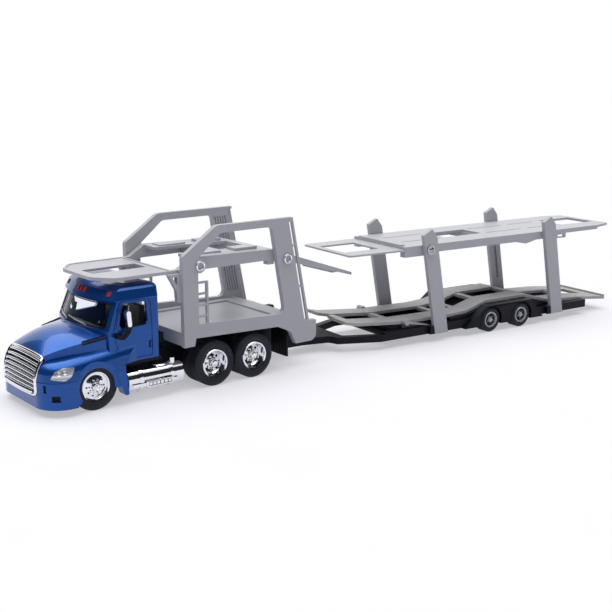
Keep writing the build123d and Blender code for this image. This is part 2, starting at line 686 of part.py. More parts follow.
# Tractor chassis
def tractor_chassis():
    """Two rails stepped up under the headrack, with cross members and brackets."""
    rack_z = RACK_FLOOR_TOP - RACK_FLOOR_THICK
    plate_z = CAB_BASE_Z - CAB_BASE_THICK
    rail = [
        (RAIL_REAR_X, RAIL_BOTTOM, 0), (RAIL_FRONT_X, RAIL_BOTTOM, 0), (RAIL_FRONT_X, RAIL_NOSE_Z, 0),
        (CAB_FRONT_X + 1.6, plate_z, 0), (RACK_FRONT_X + 1, plate_z, 0), (RACK_FRONT_X, rack_z, 0),
        (RAIL_REAR_X + 3, rack_z, 0), (RAIL_REAR_X, CAB_BASE_Z - 1, 0),
    ]
    parts = both_sides(side_slab(rail, RAIL_INNER_Y, RAIL_OUTER_Y))
    parts.append(block(CAB_REAR_X, FENDER_REAR_X, -CAB_HALF, CAB_HALF, plate_z, CAB_BASE_Z))
    for x in CROSS_MEMBERS_X:
        parts.append(block(x - MEMBER, x + MEMBER, -RAIL_INNER_Y, RAIL_INNER_Y, RAIL_BOTTOM, MEMBER_TOP))
    for x in (TANK_X[0] + STRAP_IN, TANK_X[1] - STRAP_IN):
        parts += both_sides(block(x - 1.5, x + 1.5, RAIL_OUTER_Y, TANK_INNER_Y, *TANK_BRACKET_Z))
    parts.append(block(RAIL_REAR_X, HITCH_PLATE_X, -RAIL_INNER_Y, RAIL_INNER_Y, RAIL_BOTTOM, HITCH_TOP_Z))
    parts += both_sides(block(FLAP_X, FLAP_X + 3, RAIL_OUTER_Y, FLAP_INNER_Y, FLAP_TOP - 3, FLAP_TOP))
    chassis = parts[0].fuse(*parts[1:])
    pin = Cylinder(HITCH_PIN_R, 2 * CAB_BASE_Z)
    return chassis - axle_bores(TRACTOR_AXLES, -RACK_HALF, RACK_HALF) - pin


def tank_section(grow):
    """Tank's round-cornered section, grown for the straps."""
    outer = TANK_OUTER_Y - TANK_STEP_PROUD + grow
    low, high = TANK_Z[0] - grow, TANK_Z[1] + grow
    return outline([(y, z, TANK_R) for y, z in (
        (TANK_INNER_Y, low), (outer, low), (outer, high), (TANK_INNER_Y, high),
    )])


def fuel_tank():
    """Left fuel tank: round-cornered barrel with two straps, a filler cap and a step."""
    rear, front = TANK_X
    barrel = extrude(Plane.YZ.offset(rear) * tank_section(0), amount=front - rear)
    extras = []
    for x in (rear + STRAP_IN, front - STRAP_IN):
        extras.append(extrude(Plane.YZ.offset(x - STRAP_WIDE / 2) * tank_section(STRAP), amount=STRAP_WIDE))
    middle_y = (TANK_INNER_Y + TANK_OUTER_Y) / 2
    cap = Cylinder(FILLER_R, FILLER_HIGH + 1, align=(Align.CENTER, Align.CENTER, Align.MIN))
    extras.append(Pos(rear + FILLER_IN, middle_y, TANK_Z[1] - 1) * cap)
    step_y = (TANK_OUTER_Y - TANK_R, TANK_OUTER_Y + STRAP / 2)
    extras.append(block(rear + 4, front - 1.5, *step_y, *TANK_STEP_Z))
    return barrel.fuse(*extras)


def mudflap():
    return block(FLAP_X, FLAP_X + 1, FLAP_INNER_Y, RACK_HALF - RACK_PLATE, FLAP_BOTTOM, FLAP_TOP)


# Headrack
def ladder_x(z):
    """Rear ladder rail's outer edge, which leans with the rear post."""
    return LADDER_TOP_X - (RACK_TOP - z) * LADDER_LEAN


def leaning_rows(first, x_low, x_high, low, high):
    """Strip that leans with the rear post; first gives its edge at a height."""
    return [
        (first(high) + x_low, high, 0), (first(high) + x_high, high, 0), (first(low) + x_high, low, 0),
        (first(low) + x_low, low, 0),
    ]


def rack_frame():
    """Left side frame: posts, sloped front bar, top bar, foot and both ladders in one plate."""
    top = RACK_TOP
    post_in = RACK_FRONT_X - RACK_POST
    outer = [
        (RACK_FRONT_X - 6.2, RACK_BEAM_Z - 0.5, 0), (RACK_FRONT_X, RACK_BEAM_Z - 0.5, 0),
        (RACK_FRONT_X, RACK_FRONT_Z, 2.0), (58.4, top, 5.0), (ladder_x(top), top, 0),
        (ladder_x(RACK_FOOT_TOP), RACK_FOOT_TOP, 0), (RACK_REAR_X, RACK_FOOT_TOP, 0.8),
        (RACK_REAR_X, RACK_FOOT_Z, 4.0), (7.8, RACK_FOOT_Z, 0), (11.4, 21.6, 5.0), (20.0, 25.6, 3.0),
        (RACK_FRONT_X - 7.0, 27.5, 0),
    ]
    window = [
        (post_in, 34.6, 0.6), (post_in, RACK_FRONT_Z - 1.6, 1.5), (55.8, top - RACK_BAR, 4.0),
        (23.4, top - RACK_BAR, 2.5), (15.0, 32.2, 3.5),
    ]
    y_low, y_high = RACK_HALF - RACK_PLATE, RACK_HALF
    frame = side_slab(outer, y_low, y_high) - side_slab(window, y_low, y_high)
    rungs = [RACK_FOOT_TOP + share * (top - RACK_FOOT_TOP) for share in RUNG_SHARES]
    edge = LADDER_RAIL + LADDER_GAP
    frame = frame - side_slab(
        leaning_rows(ladder_x, -1, edge, RACK_FOOT_TOP, rungs[0]), y_low, y_high - LADDER_THICK,
    )
    for high, low in zip(rungs[:-1], rungs[1:]):
        slot = leaning_rows(ladder_x, LADDER_RAIL, edge, low, high - RUNG)
        frame = frame - side_slab(slot, y_low, y_high)
    for i in range(GROOVE_COUNT):
        middle = GROOVE_X - ladder_x(GROOVE_Z[0]) + (i - (GROOVE_COUNT - 1) / 2) * GROOVE_PITCH
        groove = leaning_rows(ladder_x, middle - GROOVE_WIDE / 2, middle + GROOVE_WIDE / 2, *GROOVE_Z)
        frame = frame - side_slab(groove, y_low, y_low + GROOVE_DEEP)
    step_x = post_in - STEP_LONG
    y_step = y_low + LADDER_THICK
    ladder = [block(step_x, step_x + STEP_THICK, y_low, y_step, STEP_FOOT_Z, STEP_TOP_Z)]
    for i in range(STEP_COUNT):
        z = STEP_TOP_Z - STEP_PITCH * i
        ladder.append(block(step_x, post_in, y_low, y_step, z - RUNG, z))
    frame = frame.fuse(*ladder, cross_rod(*FRONT_PIN, PIN_LOBE_R, y_low, y_high))
    return frame - [cross_rod(*pin, PIN_R, y_low, y_high) for pin in (FRONT_PIN, RAMP_PIN)]


def rack_floor():
    """Floor between the side frames, with a shallow bed and a front beam over the rails."""
    half = RACK_HALF - RACK_PLATE
    low = RACK_FLOOR_TOP - RACK_FLOOR_THICK
    front = RACK_FRONT_X
    floor = block(RACK_FLOOR_REAR_X, front, -half, half, low, RACK_FLOOR_TOP)
    beam = block(front - RACK_BEAM_LONG, front, -half, half, RACK_BEAM_Z, low)
    beam = beam - block(front - RACK_BEAM_LONG, front, -RAIL_OUTER_Y, RAIL_OUTER_Y, RACK_BEAM_Z, low)
    bed_half = half - RACK_FLOOR_RIM
    bed_z = RACK_FLOOR_TOP - RACK_FLOOR_RECESS
    bed = block(RACK_FLOOR_REAR_X + 10, front - RACK_POST, -bed_half, bed_half, bed_z, RACK_FLOOR_TOP)
    return floor.fuse(beam) - bed


def headed_pin(x, z, inner_y, face_y):
    """Rivet or screw through a plate, with a dimpled round head on its left face."""
    shank = cross_rod(x, z, PIN_R, inner_y, face_y)
    head = cross_rod(x, z, PIN_HEAD_R, face_y, face_y + PIN_HEAD)
    dimple = cross_rod(x, z, PIN_DIMPLE_R, face_y + PIN_HEAD - PIN_DIMPLE, face_y + PIN_HEAD)
    return shank.fuse(head) - dimple


def gusset():
    """Left bracket under the cab-over deck, against the front post."""
    low = CABOVER_TOP - CABOVER_THICK
    x = RACK_FRONT_X
    rows = [(x, low, 0), (x + 7, low, 0), (x + 2.4, low - 8.4, 0.8), (x + 2.0, low - 14, 0.6), (x, low - 15, 0)]
    hole = [(x + 2.0, low - 1.4, 0.3), (x + 4.6, low - 1.4, 0.3), (x + 2.0, low - 6.2, 0.3)]
    y_low = RACK_HALF - RACK_PLATE - GUSSET_IN
    y_high = y_low + GUSSET_THICK
    return side_slab(rows, y_low, y_high) - side_slab(hole, y_low, y_high)


# Tractor upper deck
def tractor_deck():
    """Two runners with deep edge beams, and a flat round-cornered part over the cab."""
    rear = DECK_REAR_X
    rear_z = DECK_TOP - DECK_FALL
    knee = RACK_FRONT_X - RACK_POST
    low = DECK_TOP - DECK_DEEP
    inner = DECK_HALF - DECK_BEAM
    beam = [
        (rear, rear_z, 0), (rear, low - DECK_HOOK, 0), (rear + DECK_HOOK_LONG, low - DECK_HOOK, 0),
        (rear + DECK_HOOK_LONG, low, 0), (RACK_FRONT_X, low, 0), (RACK_FRONT_X, CABOVER_TOP, 0),
        (knee, DECK_TOP, 0),
    ]
    parts = both_sides(side_slab(beam, inner, DECK_HALF))
    runner = [
        (rear, rear_z, 0), (knee, DECK_TOP, 0), (knee, DECK_TOP - DECK_PLATE, 0),
        (rear, rear_z - DECK_PLATE, 0),
    ]
    parts += both_sides(side_slab(runner, RUNNER_INNER, inner))
    for x in DECK_BARS_X:
        parts.append(block(x, x + DECK_BAR, -inner, inner, low, rear_z))
    plan = outline(mirrored_rows([
        (CABOVER_REAR_X, inner, 0), (RACK_FRONT_X - 6, inner, 0), (RACK_FRONT_X - 6, DECK_HALF, 0),
        (RACK_FRONT_X, DECK_HALF, 0), (RACK_FRONT_X, DECK_HALF - 1, 0),
        (CABOVER_FRONT_X - 8, DECK_HALF - 1.6, 6.0), (CABOVER_FRONT_X, DECK_HALF - 12, 5.0),
    ]))
    over = extrude(Plane.XY.offset(CABOVER_TOP - CABOVER_THICK) * plan, amount=CABOVER_THICK)
    bed = extrude(Plane.XY.offset(CABOVER_TOP - CABOVER_RECESS) * offset(plan, amount=-CABOVER_RIM), amount=1)
    slot = [(x, CABOVER_SLOT_HALF, 1.0) for x in CABOVER_SLOT_X]
    bed = bed & block(CABOVER_REAR_X + CABOVER_RIM, CABOVER_FRONT_X, -DECK_HALF, DECK_HALF, 0, RACK_TOP)
    over = over - bed - floor_slab(mirrored_rows(slot), 0, RACK_TOP)
    for x_low, x_high in PADS:
        parts += both_sides(block(
            x_low, x_high, RUNNER_INNER + PAD_RIM, inner - PAD_RIM, DECK_TOP - DECK_PLATE, DECK_TOP + PAD_HIGH,
        ))
    deck = over.fuse(*parts)
    return deck - both_sides(cross_rod(*FRONT_PIN, PIN_R, DECK_HALF - PIN_BITE, RACK_HALF))


def tractor_ramp():
    """Loading ramp on the rear rivets: two runners, ears at the hinge and two cross bars."""
    hinge_x, hinge_z = RAMP_PIN
    tip_x, tip_z = RAMP_TIP
    rows = [
        (hinge_x + 1, hinge_z + 2.6, 0.8), (RAMP_KNEE_X, hinge_z, 3.0), (tip_x, tip_z, 0.3),
        (tip_x, tip_z - RAMP_TIP_THICK, 0.3), (RAMP_KNEE_X, hinge_z - 4.2, 3.0),
        (hinge_x + 1, hinge_z - 2.6, 0.8),
    ]
    inner = RAMP_HALF - RAMP_RUNNER
    parts = both_sides(side_slab(rows, inner, RAMP_HALF))
    parts += both_sides(cross_rod(hinge_x, hinge_z, RAMP_EAR_R, RAMP_HALF - PIN_BITE, DECK_HALF))
    slope = (hinge_z - tip_z) / (RAMP_KNEE_X - tip_x)
    for x in (RAMP_KNEE_X - RAMP_BAR_IN, tip_x + RAMP_BAR_IN):
        z = hinge_z - (RAMP_KNEE_X - x) * slope
        parts.append(block(x - 2, x + 2, -inner - 1, inner + 1, z - 2.6, z - 1.2))
    ramp = parts[0].fuse(*parts[1:])
    bore = cross_rod(hinge_x, hinge_z, PIN_R + RUNNING_FIT, RAMP_HALF - PIN_BITE - 1, RACK_HALF)
    return ramp - both_sides(bore)


def hitch_pin():
    """Shouldered pin in the chassis tail, with a head under the trailer's tongue."""
    up = (Align.CENTER, Align.CENTER, Align.MIN)
    low = TONGUE_BOTTOM - SIDE_PLAY
    shank = Pos(0, 0, low) * Cylinder(HITCH_PIN_R, HITCH_TOP_Z - low, align=up)
    return shank.fuse(Pos(0, 0, low - HITCH_HEAD) * Cylinder(HITCH_HEAD_R, HITCH_HEAD, align=up))


# Trailer
def wave_z(x):
    """Height of the lower deck's upper face."""
    for (x_front, z_front), (x_rear, z_rear) in zip(LOWER_WAVE[:-1], LOWER_WAVE[1:]):
        if x_rear <= x <= x_front:
            return z_front + (z_rear - z_front) * (x - x_front) / (x_rear - x_front)


def trailer_chassis():
    """Black frame: tongue, side rails, floor pan, cross members, axle frame and wheel skirts."""
    outer = SIDE_RAIL_OUTER
    inner = outer - SIDE_RAIL_WIDE
    low = TONGUE_BOTTOM
    rear = SIDE_RAIL_REAR_X
    neck = [
        (TONGUE_HALF, TONGUE_HALF, 5.0), (-TONGUE_LENGTH, TONGUE_HALF, 8.0), (NECK_X + 2, TONGUE_HALF + 3, 3.0),
        (NECK_X, NECK_HALF, 2.0), (NECK_REAR_X, outer, 8.0), (PAN_FRONT_X - 1, outer, 0),
    ]
    opening = [
        (NECK_X - NECK_BAR, NECK_HALF - 3, 2.0), (NECK_REAR_X, inner, 4.0), (PAN_FRONT_X - 2, inner, 0),
    ]
    tongue = floor_slab(mirrored_rows(neck), low, TONGUE_TOP)
    tongue = tongue - floor_slab(mirrored_rows(opening), 0, RACK_TOP)
    well_front = TRAILER_AXLES[0][1] + WELL_LONG
    well_rear = TRAILER_AXLES[1][1] - WELL_LONG
    parts = both_sides(block(well_front, NECK_REAR_X - 3, inner, outer, low, SIDE_RAIL_TOP))
    parts += both_sides(block(rear, well_rear, inner, outer, low, SIDE_RAIL_TOP))
    parts.append(block(well_front, PAN_FRONT_X, -inner, inner, low, low + PAN_THICK))
    belly_z = (AXLE_FRAME_TOP - PAN_THICK, AXLE_FRAME_TOP)
    parts.append(block(well_rear, well_front, -AXLE_FRAME_OUTER, AXLE_FRAME_OUTER, *belly_z))
    frame_x = (well_rear - 6, well_front + 6)
    parts += both_sides(block(*frame_x, AXLE_FRAME_INNER, AXLE_FRAME_OUTER, low, AXLE_FRAME_TOP))
    for x, z in (LOWER_WAVE[2], LOWER_WAVE[3], LOWER_WAVE[7], LOWER_WAVE[8]):
        parts.append(block(x - MEMBER, x + MEMBER, -inner, inner, low, z - LOWER_THICK - BAR_DROP))
    for x in (well_front + 4, well_rear - 4):
        top = wave_z(x) - LOWER_THICK - BAR_DROP
        parts.append(block(x - MEMBER, x + MEMBER, -inner, inner, low, top))
    x = (TRAILER_AXLES[0][1] + TRAILER_AXLES[1][1]) / 2
    parts.append(block(x - MEMBER, x + MEMBER, -AXLE_FRAME_INNER, AXLE_FRAME_INNER, low, AXLE_FRAME_TOP))
    skirt = [(x, z - LOWER_THICK - SKIRT_PLAY, 0) for x, z in LOWER_WAVE[3:8]]
    skirt += [(LOWER_WAVE[7][0], SKIRT_BOTTOM, 0), (LOWER_WAVE[3][0], SKIRT_BOTTOM, 0)]
    skirt_y = (LOWER_HALF + SIDE_PLAY, LOWER_HALF + SIDE_PLAY + SKIRT_THICK)
    arches = [cross_rod(row[1], row[2], row[2] + WHEEL_PLAY, *skirt_y) for row in TRAILER_AXLES]
    parts += both_sides(side_slab(skirt, *skirt_y) - arches)
    foot_x = POST_OUTLINE[1][0]
    socket = [
        (foot_x, POST_FOOT_Z, 0), (foot_x + POST_SOCKET, POST_FOOT_Z, 0),
        (foot_x + POST_SOCKET, SIDE_RAIL_TOP, 0),
        (foot_x + POST_LEAN * (SIDE_RAIL_TOP - POST_FOOT_Z), SIDE_RAIL_TOP, 0),
    ]
    socket = side_slab(socket, outer, POST_FACE - SIDE_PLAY)
    parts += both_sides(socket) + both_sides(Pos(-POST_PITCH, 0, 0) * socket)
    frame = tongue.fuse(*parts)
    eye = Cylinder(HITCH_PIN_R + RUNNING_FIT, 2 * CAB_BASE_Z)
    return frame - eye - axle_bores(TRAILER_AXLES, -RACK_HALF, RACK_HALF)


def trailer_posts():
    """Four leaning posts; the rear pair has a slot in each inner face."""
    front = side_slab(POST_OUTLINE, SIDE_RAIL_OUTER, POST_FACE)
    foot = (POST_OUTLINE[0][0] + POST_OUTLINE[1][0]) / 2
    slot = leaning_rows(
        lambda z: foot + POST_LEAN * (z - POST_FOOT_Z), -POST_SLOT / 2, POST_SLOT / 2, *POST_SLOT_Z,
    )
    rear = front - side_slab(slot, SIDE_RAIL_OUTER, SIDE_RAIL_OUTER + POST_SLOT_DEEP)
    front = front - cross_rod(*TILT_PIN, PIN_R, SIDE_RAIL_OUTER, POST_FACE)
    return both_sides(front) + both_sides(Pos(-POST_PITCH, 0, 0) * rear)


def lower_deck():
    """Two wavy runners joined by cross bars and a tail plate, with a strut beside the front."""
    top = [(x, z, 0) for x, z in LOWER_WAVE]
    under = [(x, z - LOWER_THICK, 0) for x, z in reversed(LOWER_WAVE)]
    parts = both_sides(side_slab(top + under, LOWER_INNER, LOWER_HALF))
    for x, z in LOWER_WAVE[1:-1]:
        z -= BAR_DROP
        parts.append(block(x - MEMBER, x + MEMBER, -LOWER_INNER, LOWER_INNER, z - LOWER_THICK, z))
    end_x, end_z = LOWER_WAVE[-1]
    tail_z = wave_z(LOWER_TAIL_X)
    tail = [
        (LOWER_TAIL_X, tail_z, 0), (LOWER_TAIL_X, tail_z - LOWER_THICK, 0), (end_x, end_z - LOWER_THICK, 0),
        (end_x, end_z, 0),
    ]
    parts.append(side_slab(tail, -LOWER_INNER, LOWER_INNER))
    lip_z = (end_z - LOWER_THICK, end_z + LOWER_LIP)
    parts.append(block(end_x, end_x + LOWER_LIP, -LOWER_HALF, LOWER_HALF, *lip_z))
    x, z = KNUCKLE
    parts += both_sides(cross_rod(x, z, KNUCKLE_R, LOWER_HALF - 1, LOWER_HALF + KNUCKLE_OUT))
    strut = [
        (x + 0.5, z + 1, 0), (x - 1.5, z - 1, 0), (STRUT_FOOT_X[1], SIDE_RAIL_TOP, 0),
        (STRUT_FOOT_X[0], SIDE_RAIL_TOP, 0),
    ]
    parts += both_sides(side_slab(strut, LOWER_HALF + STRUT_IN, LOWER_HALF + KNUCKLE_OUT - STRUT_IN))
    return parts[0].fuse(*parts[1:])


def upper_deck():
    """Plate on two edge beams, with long slots, a middle opening and an open tail."""
    low = UPPER_TOP - UPPER_DEEP
    under = UPPER_TOP - UPPER_PLATE
    inner = UPPER_HALF - UPPER_BEAM
    front, rear = UPPER_FRONT_X, UPPER_REAR_X
    dips = [(front - back, low - drop, 0) for back, drop in BEAM_DIPS]
    beam = [(front, under, 0)] + dips + [(rear, low + BEAM_TAIL, 0), (rear, under, 0)]
    parts = both_sides(side_slab(beam, inner, UPPER_HALF))
    plan = [(front, UPPER_HALF, 0), (rear, UPPER_HALF, 0), (TAIL_REAR_X, UPPER_HALF - TAIL_TAPER, 1.5)]
    plate = floor_slab(mirrored_rows(plan), under, UPPER_TOP)
    for start, end, y_low, y_high in UPPER_SLOTS:
        plate = plate - both_sides(block(front - end, front - start, y_low, y_high, under, UPPER_TOP))
    start, end = UPPER_MIDDLE
    half = UPPER_MIDDLE_HALF
    plate = plate - block(front - end, front - start, -half, half, under, UPPER_TOP)
    half = TAIL_OPENING_HALF
    plate = plate - block(TAIL_REAR_X + TAIL_TAPER, front - TAIL_OPENING, -half, half, under, UPPER_TOP)
    parts.append(block(front - 3, front, -inner, inner, under, UPPER_TOP + UPPER_LIP))
    parts.append(block(front - end - 2, front - end + 1, -inner, inner, low, under))
    eye_y = (UPPER_HALF - BRACKET_THICK, UPPER_HALF)
    eye_z = low - BRACKET_DROP
    eye = block(front - BRACKET[1], front - BRACKET[0], *eye_y, eye_z, under)
    hole_x = (front - BRACKET_HOLE[1], front - BRACKET_HOLE[0])
    eye = eye - block(*hole_x, *eye_y, eye_z + BRACKET_RIM, low + BEAM_TAIL - BRACKET_RIM)
    deck = plate.fuse(*parts, *both_sides(eye))
    return deck - both_sides(cross_rod(*TILT_PIN, PIN_R + RUNNING_FIT, inner + 0.6, POST_FACE))


def deck_flap():
    """Thin bridge plate under the upper deck's front bar, open in the middle."""
    top = UPPER_TOP - UPPER_PLATE
    rear = UPPER_FRONT_X - FLAP_TONGUE
    neck = UPPER_HALF - UPPER_BEAM - SIDE_PLAY
    rows = [
        (FLAP_FRONT_X, UPPER_HALF - 1.2, 2.0), (UPPER_FRONT_X + SIDE_PLAY, UPPER_HALF, 0),
        (UPPER_FRONT_X + SIDE_PLAY, neck, 0), (rear, neck, 0),
    ]
    plate = floor_slab(mirrored_rows(rows), top - FLAP_THICK, top)
    half = FLAP_OPEN_HALF
    return plate - block(rear + 2 * FLAP_TONGUE + 2, FLAP_FRONT_X - FLAP_RIM, -half, half, 0, RACK_TOP)


nodes = {}
for row in TRACTOR_AXLES:
    nodes.update(axle_nodes(*row))
nodes.update(cab_nodes())
nodes["front_bumper"] = [bumper()]
nodes["grille"] = [grille()]
nodes["cab_interior"] = [cab_interior()]
nodes["marker_lamps"] = marker_lamps()
nodes.update(mirror_nodes())
nodes["tractor_chassis"] = [tractor_chassis()]
nodes["fuel_tanks"] = both_sides(fuel_tank())
nodes["mudflaps"] = both_sides(mudflap())
left_frame, right_frame = both_sides(rack_frame())
nodes["rack_frame_left"] = [left_frame]
nodes["rack_frame_right"] = [right_frame]
nodes["rack_floor"] = [rack_floor()]
front_pins = both_sides(headed_pin(*FRONT_PIN, DECK_HALF - PIN_BITE, RACK_HALF))
ramp_pins = both_sides(headed_pin(*RAMP_PIN, RAMP_HALF - PIN_BITE + 1, RACK_HALF))
nodes["rack_pins"] = front_pins + ramp_pins
nodes["deck_gussets"] = both_sides(gusset())
nodes["tractor_deck"] = [tractor_deck()]
nodes["tractor_ramp"] = [tractor_ramp()]
nodes["hitch_pin"] = [hitch_pin()]

trailer_nodes = {}
for row in TRAILER_AXLES:
    trailer_nodes.update(axle_nodes(*row))
trailer_nodes["trailer_chassis"] = [trailer_chassis()]
trailer_nodes["trailer_posts"] = trailer_posts()
trailer_nodes["tilt_screws"] = both_sides(headed_pin(*TILT_PIN, UPPER_HALF - PIN_BITE, POST_FACE))
trailer_nodes["lower_deck"] = [lower_deck()]
trailer_nodes["upper_deck"] = [upper_deck()]
trailer_nodes["deck_flap"] = [deck_flap()]
for name, solids in trailer_nodes.items():
    nodes[name] = [Rot(0, 0, TRAILER_YAW) * solid for solid in solids]

os.makedirs("parts", exist_ok=True)
for name, solids in nodes.items():
    pieces = [piece for solid in solids for piece in solid.solids()]
    export_step(pieces[0] if len(pieces) == 1 else Compound(children=pieces), f"parts/{name}.step")
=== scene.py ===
import math

import bpy
from mathutils import Matrix, Vector


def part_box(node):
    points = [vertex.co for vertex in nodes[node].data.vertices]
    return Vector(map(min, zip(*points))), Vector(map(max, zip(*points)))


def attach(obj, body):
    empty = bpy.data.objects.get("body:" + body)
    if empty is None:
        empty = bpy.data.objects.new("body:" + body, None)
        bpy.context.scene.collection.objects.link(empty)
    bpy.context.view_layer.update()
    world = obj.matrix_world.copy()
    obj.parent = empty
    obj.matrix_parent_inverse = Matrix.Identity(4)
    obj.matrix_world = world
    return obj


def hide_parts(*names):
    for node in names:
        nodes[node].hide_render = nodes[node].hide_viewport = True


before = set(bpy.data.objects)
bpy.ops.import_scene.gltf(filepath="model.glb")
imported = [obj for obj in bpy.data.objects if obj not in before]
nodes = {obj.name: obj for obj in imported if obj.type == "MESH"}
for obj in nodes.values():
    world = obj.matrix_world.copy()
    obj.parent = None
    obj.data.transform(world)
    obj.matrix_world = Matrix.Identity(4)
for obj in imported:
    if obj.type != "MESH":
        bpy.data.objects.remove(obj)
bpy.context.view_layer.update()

# Tractor frame: two rails with cross members, a plate under the cab and the hitch, one black ABS
# moulding that the cab and the headrack are riveted to. Spark-eroded moulds leave its fine matt grain.
MM = 0.001


def colour(code):
    """Linear colour of an sRGB hex code."""
    channels = [int(code[i:i + 2], 16) / 255 for i in (1, 3, 5)]
    linear = [c / 12.92 if c <= 0.04045 else ((c + 0.055) / 1.055) ** 2.4 for c in channels]
    return (*linear, 1.0)


def add(tree, kind, settings=None, **inputs):
    """A node of that kind with its settings, its input values and the links into it."""
    node = tree.nodes.new(kind)
    for name, value in (settings or {}).items():
        setattr(node, name, value)
    for name, value in inputs.items():
        key = name.replace("_", " ").strip()
        socket = node.inputs[int(key) if key.isdigit() else key]
        if isinstance(value, bpy.types.NodeSocket):
            tree.links.new(value, socket)
        else:
            socket.default_value = value
    return node


def new_material(name, **values):
    """A material, its node tree, its shader set to plain values, and the surface's own coordinates."""
    material = bpy.data.materials.new(name)
    material.use_nodes = True
    tree = material.node_tree
    shader = tree.nodes["Principled BSDF"]
    for key, value in values.items():
        shader.inputs[key.replace("_", " ")].default_value = value
    place = add(tree, "ShaderNodeTexCoord").outputs["Object"]
    return material, tree, shader, place


def feed(shader, **sources):
    """Links the first output of each node into the shader's input of that name."""
    for key, source in sources.items():
        shader.id_data.links.new(source.outputs[0], shader.inputs[key.replace("_", " ")])


def dress(material, *names):
    """Gives CAD nodes their finish."""
    for name in names:
        slots = nodes[name].data.materials
        slots.clear()
        slots.append(material)


# Black ABS: near-black, with faint grey clouds from the melt and a fine grain that blurs the shine. The
# grain is drawn at 0.35 mm, coarser than real, to show.
black, tree, shader, place = new_material("black_abs_moulding", Specular_IOR_Level=0.18)
clouds = add(tree, "ShaderNodeTexNoise", Vector=place, Scale=1 / (9 * MM), Detail=3.0)
tone = add(
    tree, "ShaderNodeMixRGB", Fac=clouds.outputs["Fac"],
    Color1=colour("#0d0e15"), Color2=colour("#181a25"),
)
grain = add(tree, "ShaderNodeTexNoise", Vector=place, Scale=1 / (0.35 * MM), Detail=2.0)
rough = add(tree, "ShaderNodeMapRange", Value=grain.outputs["Fac"], To_Min=0.34, To_Max=0.56)
bump = add(tree, "ShaderNodeBump", Strength=0.35, Distance=0.03 * MM, Height=grain.outputs["Fac"])
feed(shader, Base_Color=tone, Roughness=rough, Normal=bump)
dress(black, "tractor_chassis")

# Hitch pin and axles: turned steel wire, left bare and pressed in place. The lathe leaves fine marks
# that vary the grey and the shine; they are drawn as specks of 0.5 mm, coarser than real, to show.
steel, tree, shader, place = new_material("turned_steel", Metallic=1.0)
marks = add(tree, "ShaderNodeTexNoise", Vector=place, Scale=1 / (0.5 * MM), Detail=3.0)
tone = add(
    tree, "ShaderNodeMixRGB", Fac=marks.outputs["Fac"],
    Color1=colour("#9b9da2"), Color2=colour("#c9cbcf"),
)
rough = add(tree, "ShaderNodeMapRange", Value=marks.outputs["Fac"], To_Min=0.2, To_Max=0.4)
feed(shader, Base_Color=tone, Roughness=rough)
dress(steel, "hitch_pin", *[name for name in nodes if "_axle" in name and name.endswith("_pin")])

# Wheels: rims in hard plastic, vacuum plated on the tractor and painted silver on the trailer, with
# nuts and caps moulded on and soft vinyl tyres stretched over them. They are pressed on the axles.

# Vacuum plating: mirror bright, slightly wavy where the plastic sank under it, with a thin haze
plating, tree, shader, place = new_material("vacuum_plating", Metallic=1.0)
waves = add(tree, "ShaderNodeTexNoise", Vector=place, Scale=1 / (2.2 * MM), Detail=1.0)
haze = add(tree, "ShaderNodeTexNoise", Vector=place, Scale=1 / (5 * MM), Detail=4.0)
tone = add(
    tree, "ShaderNodeMixRGB", Fac=haze.outputs["Fac"],
    Color1=colour("#d9dbe0"), Color2=colour("#f3f3f5"),
)
rough = add(tree, "ShaderNodeMapRange", Value=haze.outputs["Fac"], To_Min=0.05, To_Max=0.16)
bump = add(tree, "ShaderNodeBump", Strength=0.08, Distance=0.05 * MM, Height=waves.outputs["Fac"])
feed(shader, Base_Color=tone, Roughness=rough, Normal=bump)
dress(plating, "front_axle_rims", "drive_axle_1_rims", "drive_axle_2_rims")

# Silver-painted plastic: a dull grey paint with aluminium flake, drawn at 0.2 mm, coarser than real
silver, tree, shader, place = new_material("silver_painted_plastic", Metallic=0.35, Coat_Weight=0.2)
flake = add(tree, "ShaderNodeTexVoronoi", Vector=place, Scale=1 / (0.2 * MM))
tone = add(
    tree, "ShaderNodeMixRGB", Fac=flake.outputs["Color"],
    Color1=colour("#a3a4a9"), Color2=colour("#c6c7cb"),
)
rough = add(tree, "ShaderNodeMapRange", Value=flake.outputs["Distance"], To_Min=0.3, To_Max=0.45)
feed(shader, Base_Color=tone, Roughness=rough)
dress(silver, "trailer_axle_1_rims", "trailer_axle_2_rims")

# Soft black vinyl: dark grey with a dry bloom. The grain is drawn at 0.4 mm, coarser than real, to show
rubber, tree, shader, place = new_material("soft_black_vinyl", Specular_IOR_Level=0.3)
bloom = add(tree, "ShaderNodeTexNoise", Vector=place, Scale=1 / (3 * MM), Detail=4.0)
tone = add(
    tree, "ShaderNodeMixRGB", Fac=bloom.outputs["Fac"],
    Color1=colour("#21222b"), Color2=colour("#353641"),
)
grain = add(tree, "ShaderNodeTexNoise", Vector=place, Scale=1 / (0.4 * MM), Detail=2.0)
rough = add(tree, "ShaderNodeMapRange", Value=grain.outputs["Fac"], To_Min=0.48, To_Max=0.7)
bump = add(tree, "ShaderNodeBump", Strength=0.3, Distance=0.03 * MM, Height=grain.outputs["Fac"])
feed(shader, Base_Color=tone, Roughness=rough, Normal=bump)

# Points closer than this, in millimetres, are merged; a face looks along an axis when this much of its
# normal does
WELD = 0.002
FACING = 0.9


